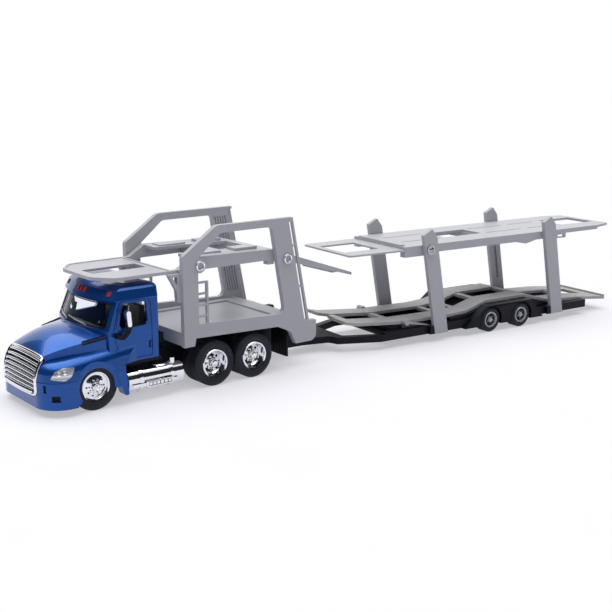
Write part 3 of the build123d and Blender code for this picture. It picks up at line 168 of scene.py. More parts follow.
def wire(name, points):
    """A line through points, in millimetres, left in edit mode with its last point selected."""
    bpy.ops.object.select_all(action="DESELECT")
    bpy.ops.mesh.primitive_plane_add(size=1.0, location=(0, 0, 0))
    piece = bpy.context.object
    piece.name = name
    bpy.ops.object.mode_set(mode="EDIT")
    bpy.ops.mesh.select_mode(type="VERT")
    bpy.ops.mesh.select_all(action="SELECT")
    bpy.ops.mesh.merge(type="CENTER")
    bpy.ops.transform.translate(value=points[0])
    for here, there in zip(points, points[1:]):
        step = [end - begin for begin, end in zip(here, there)]
        bpy.ops.mesh.extrude_region_move(TRANSFORM_OT_translate={"value": step})
    return piece


def weld():
    """Merges points of the piece in edit mode that lie on each other, and selects all of it."""
    bpy.ops.mesh.select_all(action="SELECT")
    bpy.ops.mesh.remove_doubles(threshold=WELD)
    bpy.ops.mesh.select_all(action="SELECT")


def face_out():
    """Turns all faces of the piece in edit mode outwards."""
    bpy.ops.mesh.select_all(action="SELECT")
    bpy.ops.mesh.normals_make_consistent(inside=False)


def turned(name, profile, steps):
    """A profile of radius and y, spun about the Y axis, left in edit mode."""
    piece = wire(name, [(0, y, radius) for radius, y in profile])
    bpy.ops.mesh.select_all(action="SELECT")
    bpy.ops.mesh.spin(steps=steps, angle=2 * math.pi, center=(0, 0, 0), axis=(0, 1, 0))
    weld()
    face_out()
    return piece


def pick(piece, test):
    """Selects the faces whose centre and normal pass the test, with the piece in edit mode."""
    bpy.ops.mesh.select_mode(type="FACE")
    bpy.ops.mesh.select_all(action="DESELECT")
    bpy.ops.object.mode_set(mode="OBJECT")
    for face in piece.data.polygons:
        face.select = test(face.center, face.normal)
    bpy.ops.object.mode_set(mode="EDIT")


def leftward(at, normal):
    """Whether a face looks to the left."""
    return normal.y > FACING


def only(piece):
    """Leaves edit mode with this piece alone selected."""
    if bpy.context.mode != "OBJECT":
        bpy.ops.object.mode_set(mode="OBJECT")
    bpy.ops.object.select_all(action="DESELECT")
    piece.select_set(True)
    bpy.context.view_layer.objects.active = piece


def repeat(piece, places):
    """Copies of a piece at each place, joined to one piece that takes its name."""
    only(piece)
    name = piece.name
    copies = []
    for place in places:
        copy = piece.copy()
        copy.data = piece.data.copy()
        bpy.context.scene.collection.objects.link(copy)
        copy.matrix_world = place
        copies.append(copy)
    bpy.data.objects.remove(piece)
    for copy in copies:
        copy.select_set(True)
    bpy.context.view_layer.objects.active = copies[0]
    bpy.ops.object.transform_apply(location=True, rotation=True, scale=True)
    bpy.ops.object.join()
    copies[0].name = name
    return copies[0]


def settle(piece, material, body, smooth=35):
    """Brings a piece from millimetres to metres and gives it its finish and body."""
    only(piece)
    bpy.ops.object.transform_apply(location=True, rotation=True, scale=True)
    piece.scale = (MM, MM, MM)
    bpy.ops.object.transform_apply(location=True, rotation=True, scale=True)
    bpy.ops.object.shade_smooth_by_angle(angle=math.radians(smooth))
    piece.data.materials.clear()
    piece.data.materials.append(material)
    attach(piece, body)
    return piece


STAY = Matrix.Identity(4)
HALF_TURN = Matrix.Rotation(math.pi, 4, "Z")
TRAILER_TURN = Matrix.Rotation(math.radians(-5.5), 4, "Z")
# Columns: axle, body, x, tyre radius, tyre width, y of the outer face, tyres on a side, radius of the
# rim's seat, blocks round the tread
AXLES = [
    ("front_axle", "front_wheels", 127.5, 12.0, 7.0, 27.0, 1, 7.6, 60),
    ("drive_axle_1", "drive_wheels_1", 60.0, 12.0, 6.6, 29.2, 2, 7.6, 60),
    ("drive_axle_2", "drive_wheels_2", 35.0, 12.0, 6.6, 29.2, 2, 7.6, 60),
    ("trailer_axle_1", "trailer_wheels_1", -141.4, 7.8, 8.0, 27.9, 1, 5.0, 48),
    ("trailer_axle_2", "trailer_wheels_2", -167.0, 7.8, 8.0, 27.9, 1, 5.0, 48),
]
TWIN_GAP = 1.2
# Tread: how deep it is cut, its strips of blocks, the groove's half width, and the limits by which its
# faces are told from the sidewall's
TREAD_DEEP = 0.35
TREAD_STRIPS = 5
BLOCK_EDGE = 0.14
TREAD_NEAR, TREAD_LEAN = 0.1, 0.2
# The rounded shoulder beside the tread, and where on the sidewall its raised ring is
SHOULDER = 0.9
SIDE_RING = 0.55
# Columns: radius of the circle of nuts, y of their seat from the tyre's outer face, nuts, nut radius
NUTS = {
    "front": (3.4, -0.72, 10, 0.42),
    "drive": (3.2, -3.66, 10, 0.46),
    "trailer": (2.3, -1.36, 5, 0.3),
}
# A nut's length and how far its middle is off its seat, its chamfer, and the stud's end on it
NUT_LONG, NUT_PROUD = 0.9, 0.25
NUT_EDGE, NUT_CROWN = 0.09, 0.12
STUD_EDGE, STUD_LONG = 0.08, 0.22
# Profiles of the black ring of painted shade in the trailer rims' hollow middle, and of each kind of hub
# cap. Columns: radius, y from the tyre's outer face
SHADE_DISH = [
    (1.85, -1.2), (2.1, -1.12), (3.4, -1.3), (3.72, -1.32), (3.95, -0.9), (3.98, -0.7), (4.1, -0.7),
    (4.1, -1.6), (1.85, -1.6), (1.85, -1.2),
]
CAPS = {
    "front": [
        (0, 0.2), (1.95, 0.2), (1.9, 0.65), (1.5, 0.85), (1.35, 0.7), (0.95, 0.72), (0.8, 1.0),
        (0.4, 1.1), (0, 1.12),
    ],
    "drive": [
        (0, -0.9), (1.8, -0.9), (1.75, -0.5), (1.3, -0.35), (1.15, -0.6), (0.7, -0.6), (0.55, -0.4),
        (0, -0.36),
    ],
    "trailer": [
        (0, -0.6), (1.4, -0.6), (1.35, -0.3), (1.0, -0.2), (0.85, -0.4), (0.4, -0.4), (0, -0.38),
    ],
}
SHADE_DISH_STEPS = 40
CAP_STEPS = 32


def tyre_profile(radius, width, seat):
    """Outer bead, sidewall with a raised ring, tread strips, inner sidewall and back round the seat."""
    crown = radius - TREAD_DEEP
    ring = seat + SIDE_RING * (radius - seat)
    # Columns: radius, y from the outer face
    side = [
        (seat, -0.5), (seat + 0.25, -0.12), (seat + 0.8, 0), (ring - 0.3, 0.02), (ring - 0.2, 0.14),
        (ring + 0.1, 0.14), (ring + 0.2, 0), (radius - 1.3, -0.08), (radius - 0.75, -0.4),
    ]
    step = (width - 2 * SHOULDER) / TREAD_STRIPS
    tread = [(crown, -SHOULDER - step * i) for i in range(TREAD_STRIPS + 1)]
    other = [(r, -width - y) for r, y in reversed(side)]
    return side + tread + other + side[:1]


for axle, body, x, radius, width, face_y, count, seat, blocks in AXLES:
    kind = axle.split("_")[0]
    turn = TRAILER_TURN if kind == "trailer" else STAY
    finish, slot = (silver, "silver_plastic") if kind == "trailer" else (plating, "chrome")
    wheels = [turn @ Matrix.Translation((x, 0, radius)) @ side for side in (STAY, HALF_TURN)]
    outer_faces = [wheel @ Matrix.Translation((0, face_y, 0)) for wheel in wheels]

    tyre = turned(axle + "_treaded_tyres", tyre_profile(radius, width, seat), blocks)
    tread_r = radius - TREAD_DEEP - TREAD_NEAR
    pick(tyre, lambda at, normal: math.hypot(at.x, at.z) > tread_r and abs(normal.y) < TREAD_LEAN)
    bpy.ops.mesh.inset(thickness=BLOCK_EDGE, depth=TREAD_DEEP, use_individual=True)
    faces = [face_y - i * (width + TWIN_GAP) for i in range(count)]
    tyre = repeat(tyre, [wheel @ Matrix.Translation((0, y, 0)) for wheel in wheels for y in faces])
    settle(tyre, rubber, body, smooth=50)
    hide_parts(axle + "_tyres")

    circle, nut_y, nut_count, nut_r = NUTS[kind]
    bpy.ops.object.select_all(action="DESELECT")
    bpy.ops.mesh.primitive_cylinder_add(
        vertices=6, radius=nut_r, depth=NUT_LONG, rotation=(-math.pi / 2, 0, 0),
    )
    nut = bpy.context.object
    nut.name = axle + "_wheel_nuts"
    bpy.ops.object.transform_apply(location=True, rotation=True, scale=True)
    bpy.ops.object.mode_set(mode="EDIT")
    pick(nut, leftward)
    bpy.ops.mesh.inset(thickness=NUT_EDGE, depth=NUT_CROWN)
    bpy.ops.mesh.inset(thickness=STUD_EDGE, depth=0)
    bpy.ops.mesh.extrude_region_move(TRANSFORM_OT_translate={"value": (0, STUD_LONG, 0)})
    on_circle = Matrix.Translation((0, face_y + nut_y + NUT_PROUD, circle))
    places = []
    for wheel in wheels:
        for i in range(nut_count):
            around = Matrix.Rotation(2 * math.pi * (i + 0.5) / nut_count, 4, "Y")
            places.append(wheel @ around @ on_circle)
    settle(repeat(nut, places), finish, body, smooth=25)

    if kind == "trailer":
        # Painted shade: a black ring in each trailer rim's hollow, where it lies in shadow
        shade_dish = repeat(turned(axle + "_painted_shade_dishes", SHADE_DISH, SHADE_DISH_STEPS), outer_faces)
        settle(shade_dish, black, body)

    cap = repeat(turned(axle + "_hub_caps", CAPS[kind], CAP_STEPS), outer_faces)
    settle(cap, finish, body)

# Fuel tanks: a plated plastic barrel on each side behind the front wheel, with two straps, a filler
# and a stepped panel low on its outer face, whose slots are filled black as painted shade.
dress(plating, "fuel_tanks")
tank_low, tank_high = [Vector(corner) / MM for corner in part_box("fuel_tanks")]
MIRROR = Matrix.Diagonal((1, -1, 1, 1))
# The barrel's face is felt for from this far out, ahead of the step panel's middle and at a level
FAR_OUT = 60.0
STEP_TOUCH, STEP_LEVEL = 2.0, 8.0
# Step panel: its size, how far its middle is behind the tank's, its place off that face, its rounding
STEP_LONG, STEP_THICK, STEP_HIGH = 15.5, 0.8, 3.4
STEP_BACK, STEP_PROUD, STEP_RAISED = 1.0, 0.1, 0.6
STEP_ROUND = 0.25
# Black slots of painted shade: how far inside the panel's ends they stop, how much lower, how thick
# and how far off the face they are, and their count, rims and hollows
SHADE_SLOT_INSIDE, SHADE_SLOT_LESS_HIGH, SHADE_SLOT_THICK, SHADE_SLOT_PROUD = 1.2, 1.5, 0.3, 0.5
SHADE_SLOT_COUNT, SHADE_SLOT_RIM, SHADE_SLOT_SUNK = 6, 0.3, 0.2


def slab(name, size, centre):
    """A block of that size about its centre, in millimetres, left in edit mode and all selected."""
    bpy.ops.object.select_all(action="DESELECT")
    bpy.ops.mesh.primitive_cube_add(size=1.0, location=(0, 0, 0))
    piece = bpy.context.object
    piece.name = name
    bpy.ops.object.mode_set(mode="EDIT")
    bpy.ops.mesh.select_all(action="SELECT")
    bpy.ops.transform.resize(value=size)
    bpy.ops.transform.translate(value=centre)
    return piece


def touch(node, start, aim):
    """Where a line from start meets a CAD node, in millimetres."""
    hit, point, normal, face = nodes[node].ray_cast(Vector(start) * MM, Vector(aim))
    if not hit:
        raise ValueError("nothing of %s is met from %s" % (node, start))
    return point / MM


def cut_across(low, high, count):
    """Cuts all of a piece in edit mode by planes across X, at even steps between two places."""
    for i in range(1, count):
        bpy.ops.mesh.select_all(action="SELECT")
        bpy.ops.mesh.bisect(plane_co=(low + (high - low) * i / count, 0, 0), plane_no=(1, 0, 0))


def outward(piece):
    """Turns a piece's faces outwards after it was mirrored."""
    only(piece)
    bpy.ops.object.mode_set(mode="EDIT")
    face_out()
    only(piece)
    return piece


def sides(piece):
    """A left piece and its mirror image on the right, joined."""
    return outward(repeat(piece, [STAY, MIRROR]))


step_x = (tank_low.x + tank_high.x) / 2 - STEP_BACK
barrel = touch("fuel_tanks", (step_x + STEP_TOUCH, FAR_OUT, STEP_LEVEL), (0, -1, 0))
step_z = barrel.z + STEP_RAISED
step_size = (STEP_LONG, STEP_THICK, STEP_HIGH)
step = slab("tank_step_panels", step_size, (step_x, barrel.y + STEP_PROUD, step_z))
bpy.ops.mesh.bevel(offset=STEP_ROUND, segments=2)
settle(sides(step), plating, "tractor", smooth=40)
shade_slot_size = (STEP_LONG - 2 * SHADE_SLOT_INSIDE, SHADE_SLOT_THICK, STEP_HIGH - SHADE_SLOT_LESS_HIGH)
# Painted shade: black bars in the step panel's slots, where they lie in shadow
tread = slab("tank_step_painted_shade_slots", shade_slot_size, (step_x, barrel.y + SHADE_SLOT_PROUD, step_z))
shade_slot_half = STEP_LONG / 2 - SHADE_SLOT_INSIDE
cut_across(step_x - shade_slot_half, step_x + shade_slot_half, SHADE_SLOT_COUNT)
pick(tread, leftward)
bpy.ops.mesh.inset(thickness=SHADE_SLOT_RIM, depth=-SHADE_SLOT_SUNK, use_individual=True)
settle(sides(tread), black, "tractor", smooth=30)

# Mudflaps: flat black ABS plates hung behind the drive wheels, one on each side of the frame, with
# upright ribs moulded on the front face.
dress(black, "mudflaps")
flap_low, flap_high = [Vector(corner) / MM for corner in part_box("mudflaps")]
FLAP_RIBS = (14.6, 17.4, 20.2, 23.0, 25.6)
FLAP_RIB = (0.5, 0.5, 14.0)
FLAP_RIB_ROUND, FLAP_RIB_PROUD, FLAP_RIB_LOWERED = 0.14, 0.1, 0.8
rib = slab("mudflap_ribs", FLAP_RIB, (0, 0, 0))
bpy.ops.mesh.bevel(offset=FLAP_RIB_ROUND, segments=2)
rib_z = (flap_low.z + flap_high.z) / 2 - FLAP_RIB_LOWERED
rib = repeat(rib, [Matrix.Translation((flap_high.x + FLAP_RIB_PROUD, y, rib_z)) for y in FLAP_RIBS])
settle(sides(rib), black, "tractor", smooth=40)

# Cab: one zinc die casting of cab, hood and fenders, sprayed with blue metallic enamel and lacquered.
# The lacquer is glossy with a faint orange peel, and flake under it lifts the colour to the light. The
# flake is drawn at 0.22 mm, coarser than real, to show.
blue, tree, shader, place = new_material(
    "blue_metallic_enamel", Metallic=0.6, Specular_IOR_Level=0.2,
    Coat_Weight=1.0, Coat_Roughness=0.04, Coat_IOR=1.3,
)
flake = add(tree, "ShaderNodeTexVoronoi", Vector=place, Scale=1 / (0.22 * MM))
pool = add(tree, "ShaderNodeTexNoise", Vector=place, Scale=1 / (14 * MM), Detail=2.0)
coat = add(
    tree, "ShaderNodeMixRGB", Fac=pool.outputs["Fac"],
    Color1=colour("#033c8c"), Color2=colour("#07479e"),
)
spark = add(tree, "ShaderNodeMapRange", Value=flake.outputs["Color"], To_Min=0.0, To_Max=0.3)
tone = add(
    tree, "ShaderNodeMixRGB", Fac=spark.outputs[0],
    Color1=coat.outputs[0], Color2=colour("#3284d0"),
)
rough = add(tree, "ShaderNodeMapRange", Value=flake.outputs["Distance"], To_Min=0.3, To_Max=0.42)
peel = add(tree, "ShaderNodeTexNoise", Vector=place, Scale=1 / (1.6 * MM), Detail=1.0)
bump = add(tree, "ShaderNodeBump", Strength=0.08, Distance=0.04 * MM, Height=peel.outputs["Fac"])
feed(shader, Base_Color=tone, Roughness=rough, Coat_Normal=bump)
dress(blue, "cab_body", "front_bumper")

# Fender lips: the rolled inner edge of each front wheel opening, cast in one with the fender and painted
# with it. They hide the tyres' shoulders, as the wheels stand well inside the fenders.
LIP_AT = (127.5, 0, 12.0)
LIP_FIRST, LIP_LAST = math.radians(-36), math.radians(190)
LIP_STEPS = 48
# Columns: radius, y
LIP = [
    (9.4, 27.4), (9.4, 28.1), (9.65, 28.5), (10.1, 28.75), (12.7, 28.75), (12.7, 27.4), (9.4, 27.4),
]
across, up = math.cos(LIP_FIRST), math.sin(LIP_FIRST)
lip = wire("fender_lips", [(radius * across, y, radius * up) for radius, y in LIP])
weld()
bpy.ops.mesh.spin(steps=LIP_STEPS, angle=LIP_LAST - LIP_FIRST, center=(0, 0, 0), axis=(0, 1, 0))
bpy.ops.mesh.select_all(action="SELECT")
bpy.ops.mesh.fill_holes(sides=0)
bpy.ops.mesh.select_all(action="SELECT")
bpy.ops.transform.translate(value=LIP_AT)
settle(sides(lip), blue, "tractor", smooth=40)

# Hood vents: a ribbed black ABS insert along the edge between the hood's top and side, clipped into
# the casting on each side. It runs from the middle of the hood to the windscreen's foot.
VENT_FRONT = Vector((131.4, 22.1, 33.2))
VENT_REAR = Vector((120.0, 24.7, 35.1))
VENT_OUT = Vector((0.2, 0.72, 0.66))
VENT_WIDE, VENT_THICK, VENT_SUNK = 1.9, 0.9, 0.25
VENT_SLOTS, SLOT_EDGE, SLOT_DEEP = 11, 0.2, 0.3


def upward(at, normal):
    """Whether a face looks up."""
    return normal.z > FACING


def aimed(piece, at, along, out):
    """Puts a piece's X along a line and its Z out of the surface, at a point in millimetres."""
    only(piece)
    along = along.normalized()
    side = out.cross(along).normalized()
    turn = Matrix((along, side, along.cross(side))).transposed().to_4x4()
    piece.matrix_world = Matrix.Translation(at) @ turn
    bpy.ops.object.transform_apply(location=True, rotation=True, scale=True)
    return piece


along = VENT_FRONT - VENT_REAR
vent = slab("hood_vents", (along.length, VENT_WIDE, VENT_THICK), (0, 0, 0))
cut_across(-along.length / 2, along.length / 2, VENT_SLOTS)
pick(vent, upward)
bpy.ops.mesh.inset(thickness=SLOT_EDGE, depth=-SLOT_DEEP, use_individual=True)
aimed(vent, (VENT_FRONT + VENT_REAR) / 2 - VENT_OUT * VENT_SUNK, along, VENT_OUT)
settle(sides(vent), black, "tractor", smooth=30)

# Door handles: a narrow upright pull of the same casting near the rear edge of each door, over a dished
# plate in black, which is painted shade for the recess round the pull.
HANDLE_X, HANDLE_Z = 96.5, 28.2
PLATE_SIZE = (1.7, 0.3, 3.6)
PLATE_EDGE, PLATE_SUNK = 0.25, 0.12
PULL_SIZE = (0.7, 0.5, 2.9)
PULL_PROUD, PULL_ROUND = 0.3, 0.18
door = touch("cab_body", (HANDLE_X, FAR_OUT, HANDLE_Z), (0, -1, 0))
# Painted shade: the black plate darkens the handle's recess
plate = slab("door_handle_painted_shade_plates", PLATE_SIZE, door)
pick(plate, leftward)
bpy.ops.mesh.inset(thickness=PLATE_EDGE, depth=-PLATE_SUNK)
settle(sides(plate), black, "tractor", smooth=30)
pull = slab("door_handle_pulls", PULL_SIZE, (door.x, door.y + PULL_PROUD, door.z))
bpy.ops.mesh.bevel(offset=PULL_ROUND, segments=3)
settle(sides(pull), blue, "tractor", smooth=40)

# Grille: one plated moulding of frame and bars, pushed into the nose so that it covers the opening. It
# stands proud, bowed and raked with the nose, over fine upright ribs and a black sheet, which is painted
# shade for the dark hollow of the nose behind them.
dress(plating, "grille")
# Columns: z, x in the middle, x at the sides
GRILLE_FACE = [
    (8.8, 154.8, 153.9),
    (18.0, 154.8, 154.0),
    (22.0, 153.9, 152.9),
    (26.0, 152.6, 150.9),
    (31.0, 149.6, 145.6),
]
GRILLE_HALF = 17.2
GRILLE_LOW, GRILLE_HIGH = 10.6, 29.2
GRILLE_ARCH = 1.6
GRILLE_CORNER = 2.0
# Rods of the frame, of its thicker foot, of the bars and of the ribs: radius, then points on each
FRAME_R, FOOT_R, BAR_R, RIB_R = 0.9, 1.3, 0.82, 0.15
FRAME_STEPS, CORNER_STEPS, BAR_STEPS, RIB_STEPS = 8, 5, 14, 6
# Bars, the place of the first one in bar spacings, and the spacings left over
BAR_COUNT, BAR_FIRST, BAR_SPARE = 7, 1.6, 1.2
RIB_COUNT = 23
# How far bars, ribs and the painted shade sheet lie behind the frame's face
BAR_SUNK, RIB_SUNK, SHADE_SHEET_SUNK = 0.1, 0.6, 0.75
SHADE_SHEET_CELLS = (16, 10)
SHADE_SHEET_THICK = 1.0


def tube(name, points, radius, closed=False):
    """A round rod along points, in millimetres."""
    piece = wire(name, [*points, points[0]] if closed else points)
    weld()
    only(piece)
    bpy.ops.object.convert(target="CURVE")
    piece.data.bevel_depth = radius
    piece.data.bevel_resolution = 2
    piece.data.use_fill_caps = not closed
    bpy.ops.object.convert(target="MESH")
    return piece


def joined(name, pieces):
    """Pieces joined to one of that name."""
    only(pieces[0])
    for piece in pieces:
        piece.select_set(True)
    bpy.ops.object.join()
    pieces[0].name = name
    return pieces[0]


def grille_z(y, share):
    """The z at a share of the height between the frame's foot and its arched top, at that y."""
    top = GRILLE_HIGH - GRILLE_ARCH * (y / GRILLE_HALF) ** 2
    return GRILLE_LOW + (top - GRILLE_LOW) * share


def grille_at(y, z, sunk=0.0):
    """The point of the grille's front at that y and z, or so far behind it."""
    upper = next(i for i, row in enumerate(GRILLE_FACE) if z <= row[0])
    low_row, high_row = GRILLE_FACE[upper - 1], GRILLE_FACE[upper]
    share = (z - low_row[0]) / (high_row[0] - low_row[0])
    middle, side = [low + (high - low) * share for low, high in zip(low_row[1:], high_row[1:])]
    return (side + (middle - side) * (1 - (y / GRILLE_HALF) ** 2) - sunk, y, z)


def corner_points(y, z, first):
    """A quarter circle of the frame about that y and z, from an angle in degrees."""
    turns = [math.radians(first + 90 * i / CORNER_STEPS) for i in range(CORNER_STEPS + 1)]
    return [(y + GRILLE_CORNER * math.cos(turn), z + GRILLE_CORNER * math.sin(turn)) for turn in turns]


# The frame's left half, from the middle of its foot round to the middle of its top
straight = GRILLE_HALF - GRILLE_CORNER
side_low, side_high = GRILLE_LOW + GRILLE_CORNER, grille_z(straight, 1) - GRILLE_CORNER
along = [straight * i / FRAME_STEPS for i in range(FRAME_STEPS)]
half = [(y, GRILLE_LOW) for y in along]
half += corner_points(straight, side_low, -90)
side_step = (side_high - side_low) / FRAME_STEPS
half += [(GRILLE_HALF, side_low + side_step * i) for i in range(1, FRAME_STEPS)]
half += corner_points(straight, side_high, 0)
half += [(y, grille_z(y, 1)) for y in reversed(along)]
other = [(-y, z) for y, z in reversed(half[1:-1])]
mouldings = [tube("grille_frame", [grille_at(y, z) for y, z in half + other], FRAME_R, closed=True)]
across = [GRILLE_HALF * (2 * i / BAR_STEPS - 1) for i in range(BAR_STEPS + 1)]
foot = [grille_at(y, GRILLE_LOW + FOOT_R) for y in across[1:-1]]
mouldings.append(tube("grille_foot", foot, FOOT_R))
for i in range(BAR_COUNT):
    share = (i + BAR_FIRST) / (BAR_COUNT + BAR_SPARE)
    bar = [grille_at(y, grille_z(y, share), BAR_SUNK) for y in across]
    mouldings.append(tube("grille_bar", bar, BAR_R))
bars = settle(joined("grille_frame_and_bars", mouldings), plating, "tractor", smooth=60)
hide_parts("grille")
ribs = []
for i in range(RIB_COUNT):
    y = GRILLE_HALF * (2 * (i + 0.5) / RIB_COUNT - 1)
    rib = [grille_at(y, grille_z(y, k / RIB_STEPS), RIB_SUNK) for k in range(RIB_STEPS + 1)]
    ribs.append(tube("grille_rib", rib, RIB_R))
settle(joined("grille_ribs", ribs), plating, "tractor", smooth=60)
# The painted shade sheet: a flat black grid, bent to the grille's face point by point, as no operator
# bows it
bpy.ops.object.select_all(action="DESELECT")
bpy.ops.mesh.primitive_grid_add(x_subdivisions=SHADE_SHEET_CELLS[0], y_subdivisions=SHADE_SHEET_CELLS[1], size=2.0)
back = bpy.context.object
back.name = "grille_painted_shade_sheet"
for vertex in back.data.vertices:
    y = GRILLE_HALF * vertex.co.x
    vertex.co = grille_at(y, grille_z(y, (vertex.co.y + 1) / 2), SHADE_SHEET_SUNK)
bpy.ops.object.mode_set(mode="EDIT")
face_out()
bpy.ops.mesh.extrude_region_move(TRANSFORM_OT_translate={"value": (-SHADE_SHEET_THICK, 0, 0)})
bpy.ops.mesh.select_all(action="SELECT")
bpy.ops.mesh.fill_holes(sides=0)
face_out()
settle(back, black, "tractor", smooth=30)

# Fog lamps: a small black ABS moulding with a sunk face, framed all round, pressed into the recess of
# each bumper corner.
FOG_AT = Vector((147.7, 25.7, 9.4))
FOG_OUT = Vector((0.56, 0.83, 0))
FOG_SIZE = (3.6, 2.3, 0.7)
FOG_FRAME, FOG_SLOPE, FOG_SUNK = 0.3, 0.15, 0.4
fog = slab("fog_lamp_frames", FOG_SIZE, (0, 0, 0))
pick(fog, upward)
bpy.ops.mesh.inset(thickness=FOG_FRAME, depth=0)
bpy.ops.mesh.inset(thickness=FOG_SLOPE, depth=-FOG_SUNK)
aimed(fog, FOG_AT, FOG_OUT.cross(Vector((0, 0, 1))), FOG_OUT)
settle(sides(fog), black, "tractor", smooth=30)

# Headlamps: clear moulded lenses over silvered reflectors that wrap round the nose, each with two
# round bowls. Flutes inside the lens, 1.96 mm apart, break its shine into bands.
HEADLAMP_FLUTE = 1.9635
# A wave texture's bands are this wide at a scale of 1
WAVE = math.pi / 10
lens, tree, shader, place = new_material(
    "silvered_lens", Metallic=0.55, Roughness=0.22, Coat_Weight=1.0, Coat_Roughness=0.03,
)
flutes = add(
    tree, "ShaderNodeTexWave", {"bands_direction": "Z"},
    Vector=place, Scale=WAVE / (HEADLAMP_FLUTE * MM), Distortion=0.5,
)
tone = add(
    tree, "ShaderNodeMixRGB", Fac=flutes.outputs["Fac"],
    Color1=colour("#c0c4cc"), Color2=colour("#eef0f4"),
)
bump = add(tree, "ShaderNodeBump", Strength=0.3, Distance=0.1 * MM, Height=flutes.outputs["Fac"])
feed(shader, Base_Color=tone, Normal=bump)
dress(lens, "headlamps")
# Columns: middle of the bowl on the left lens, outward direction there
BOWLS = [((146.4, 27.1, 21.6), (0.45, 0.87, 0.21)), ((143.9, 27.9, 22.1), (0.25, 0.93, 0.26))]
# Columns: radius, y from the lens
BOWL = [
    (0, -0.3), (1.15, -0.3), (1.1, 0.1), (0.95, 0.16), (0.8, 0.02), (0.5, -0.12), (0.42, 0.04),
    (0.2, 0.14), (0, 0.16),
]
BOWL_STEPS = 28
places = []
for at, out in BOWLS:
    lean = Vector((0, 1, 0)).rotation_difference(Vector(out))
    places.append(Matrix.Translation(at) @ lean.to_matrix().to_4x4())
bowls = repeat(turned("headlamp_bowls", BOWL, BOWL_STEPS), places)
settle(sides(bowls), plating, "tractor", smooth=40)

# Marker lamps: five red polystyrene lenses glued into the brow over the windscreen, clear-coated, with
# fine upright flutes that stripe the red.
MARKER_FLUTE = 0.7854
red, tree, shader, place = new_material("red_lens", Roughness=0.25, Coat_Weight=1.0, Coat_Roughness=0.05)
flutes = add(
    tree, "ShaderNodeTexWave", {"bands_direction": "Y"},
    Vector=place, Scale=WAVE / (MARKER_FLUTE * MM),
)
tone = add(
    tree, "ShaderNodeMixRGB", Fac=flutes.outputs["Fac"],
    Color1=colour("#a02418"), Color2=colour("#d0492f"),
)
feed(shader, Base_Color=tone)
dress(red, "marker_lamps")

# Cab inside: a dark grey ABS tub with dashboard, seats and wheel, moulded in one and pushed in from
# below. Its colour is darkened further to near-black as painted shade inside the closed cab. It is dull;
# its grain is drawn at 0.5 mm, coarser than real, to show.
inside, tree, shader, place = new_material("cab_moulding_with_painted_shade", Roughness=0.5)
grain = add(tree, "ShaderNodeTexNoise", Vector=place, Scale=1 / (0.5 * MM), Detail=2.0)
# Painted shade: both tones are near-black for the shade inside the cab
tone = add(
    tree, "ShaderNodeMixRGB", Fac=grain.outputs["Fac"],
    Color1=colour("#0b0e14"), Color2=colour("#151a22"),
)
bump = add(tree, "ShaderNodeBump", Strength=0.3, Distance=0.04 * MM, Height=grain.outputs["Fac"])
feed(shader, Base_Color=tone, Normal=bump)
dress(inside, "cab_interior")

# Windows: clear polystyrene, moulded as one insert and clipped in from inside. It ripples a little, and
# its IOR is lowered, because both walls of the thick insert would dim the cab behind them.
glass, tree, shader, place = new_material(
    "clear_polystyrene", Base_Color=colour("#f4f7fa"), Transmission_Weight=1.0, IOR=1.1, Roughness=0.01,
)
ripple = add(tree, "ShaderNodeTexNoise", Vector=place, Scale=1 / (8 * MM), Detail=1.0)
bump = add(tree, "ShaderNodeBump", Strength=0.1, Distance=0.05 * MM, Height=ripple.outputs["Fac"])
feed(shader, Normal=bump)
dress(glass, "cab_glass")

# Windscreen seal and wipers: a thin black rubber edge round the screen, and two arms with blades that
# rest along its foot, moulded in plastic and painted silver.
SCREEN_AHEAD = 150.0
# The seal's lower and upper edge: z, then half the width
SEAL_LOW, SEAL_HIGH = 38.9, 49.9
SEAL_LOW_HALF, SEAL_HIGH_HALF = 23.8, 22.7
SEAL_STEPS = 10
SEAL_R, BLADE_R, ARM_R = 0.3, 0.26, 0.24
WIPER_LIFT = Vector((0.45, 0, 0.1))
# Columns: y and z of the blade's outer end, of its inner end and of the arm's foot
WIPERS = [((-21.0, 40.6), (-8.5, 39.5), (-7.0, 38.9)), ((-6.5, 40.6), (10.3, 39.5), (12.0, 38.9))]


def on_screen(y, z):
    """The point of the windscreen's outer face at that y and z, in millimetres."""
    return touch("cab_glass", (SCREEN_AHEAD, y, z), (-1, 0, 0))


spread = [2 * i / SEAL_STEPS - 1 for i in range(SEAL_STEPS + 1)]
edge = [on_screen(SEAL_LOW_HALF * share, SEAL_LOW) for share in spread]
edge += [on_screen(SEAL_HIGH_HALF * -share, SEAL_HIGH) for share in spread]
seal = tube("windscreen_seal", edge, SEAL_R, closed=True)
settle(seal, black, "tractor", smooth=60)
blades = []
for outer, inner, foot in WIPERS:
    middle = ((outer[0] + inner[0]) / 2, (outer[1] + inner[1]) / 2)
    blade = [on_screen(*at) + WIPER_LIFT for at in (outer, middle, inner)]
    blades.append(tube("wiper_blade", blade, BLADE_R))
    arm = [on_screen(*foot) + WIPER_LIFT, on_screen(*middle) + WIPER_LIFT * 2]
    blades.append(tube("wiper_arm", arm, ARM_R))
settle(joined("wipers", blades), silver, "tractor", smooth=60)

# Door mirrors: plated plastic heads on black arms that are glued into the doors. A thin silver stub
# stands up from each arm.
dress(plating, "mirrors")
dress(black, "mirror_arms")
STUB_LOW = (110.4, 30.0, 47.0)
STUB_HIGH = (109.6, 29.6, 50.0)
STUB_R = 0.22
stub = tube("mirror_stubs", [STUB_LOW, STUB_HIGH], STUB_R)
settle(sides(stub), silver, "tractor", smooth=60)


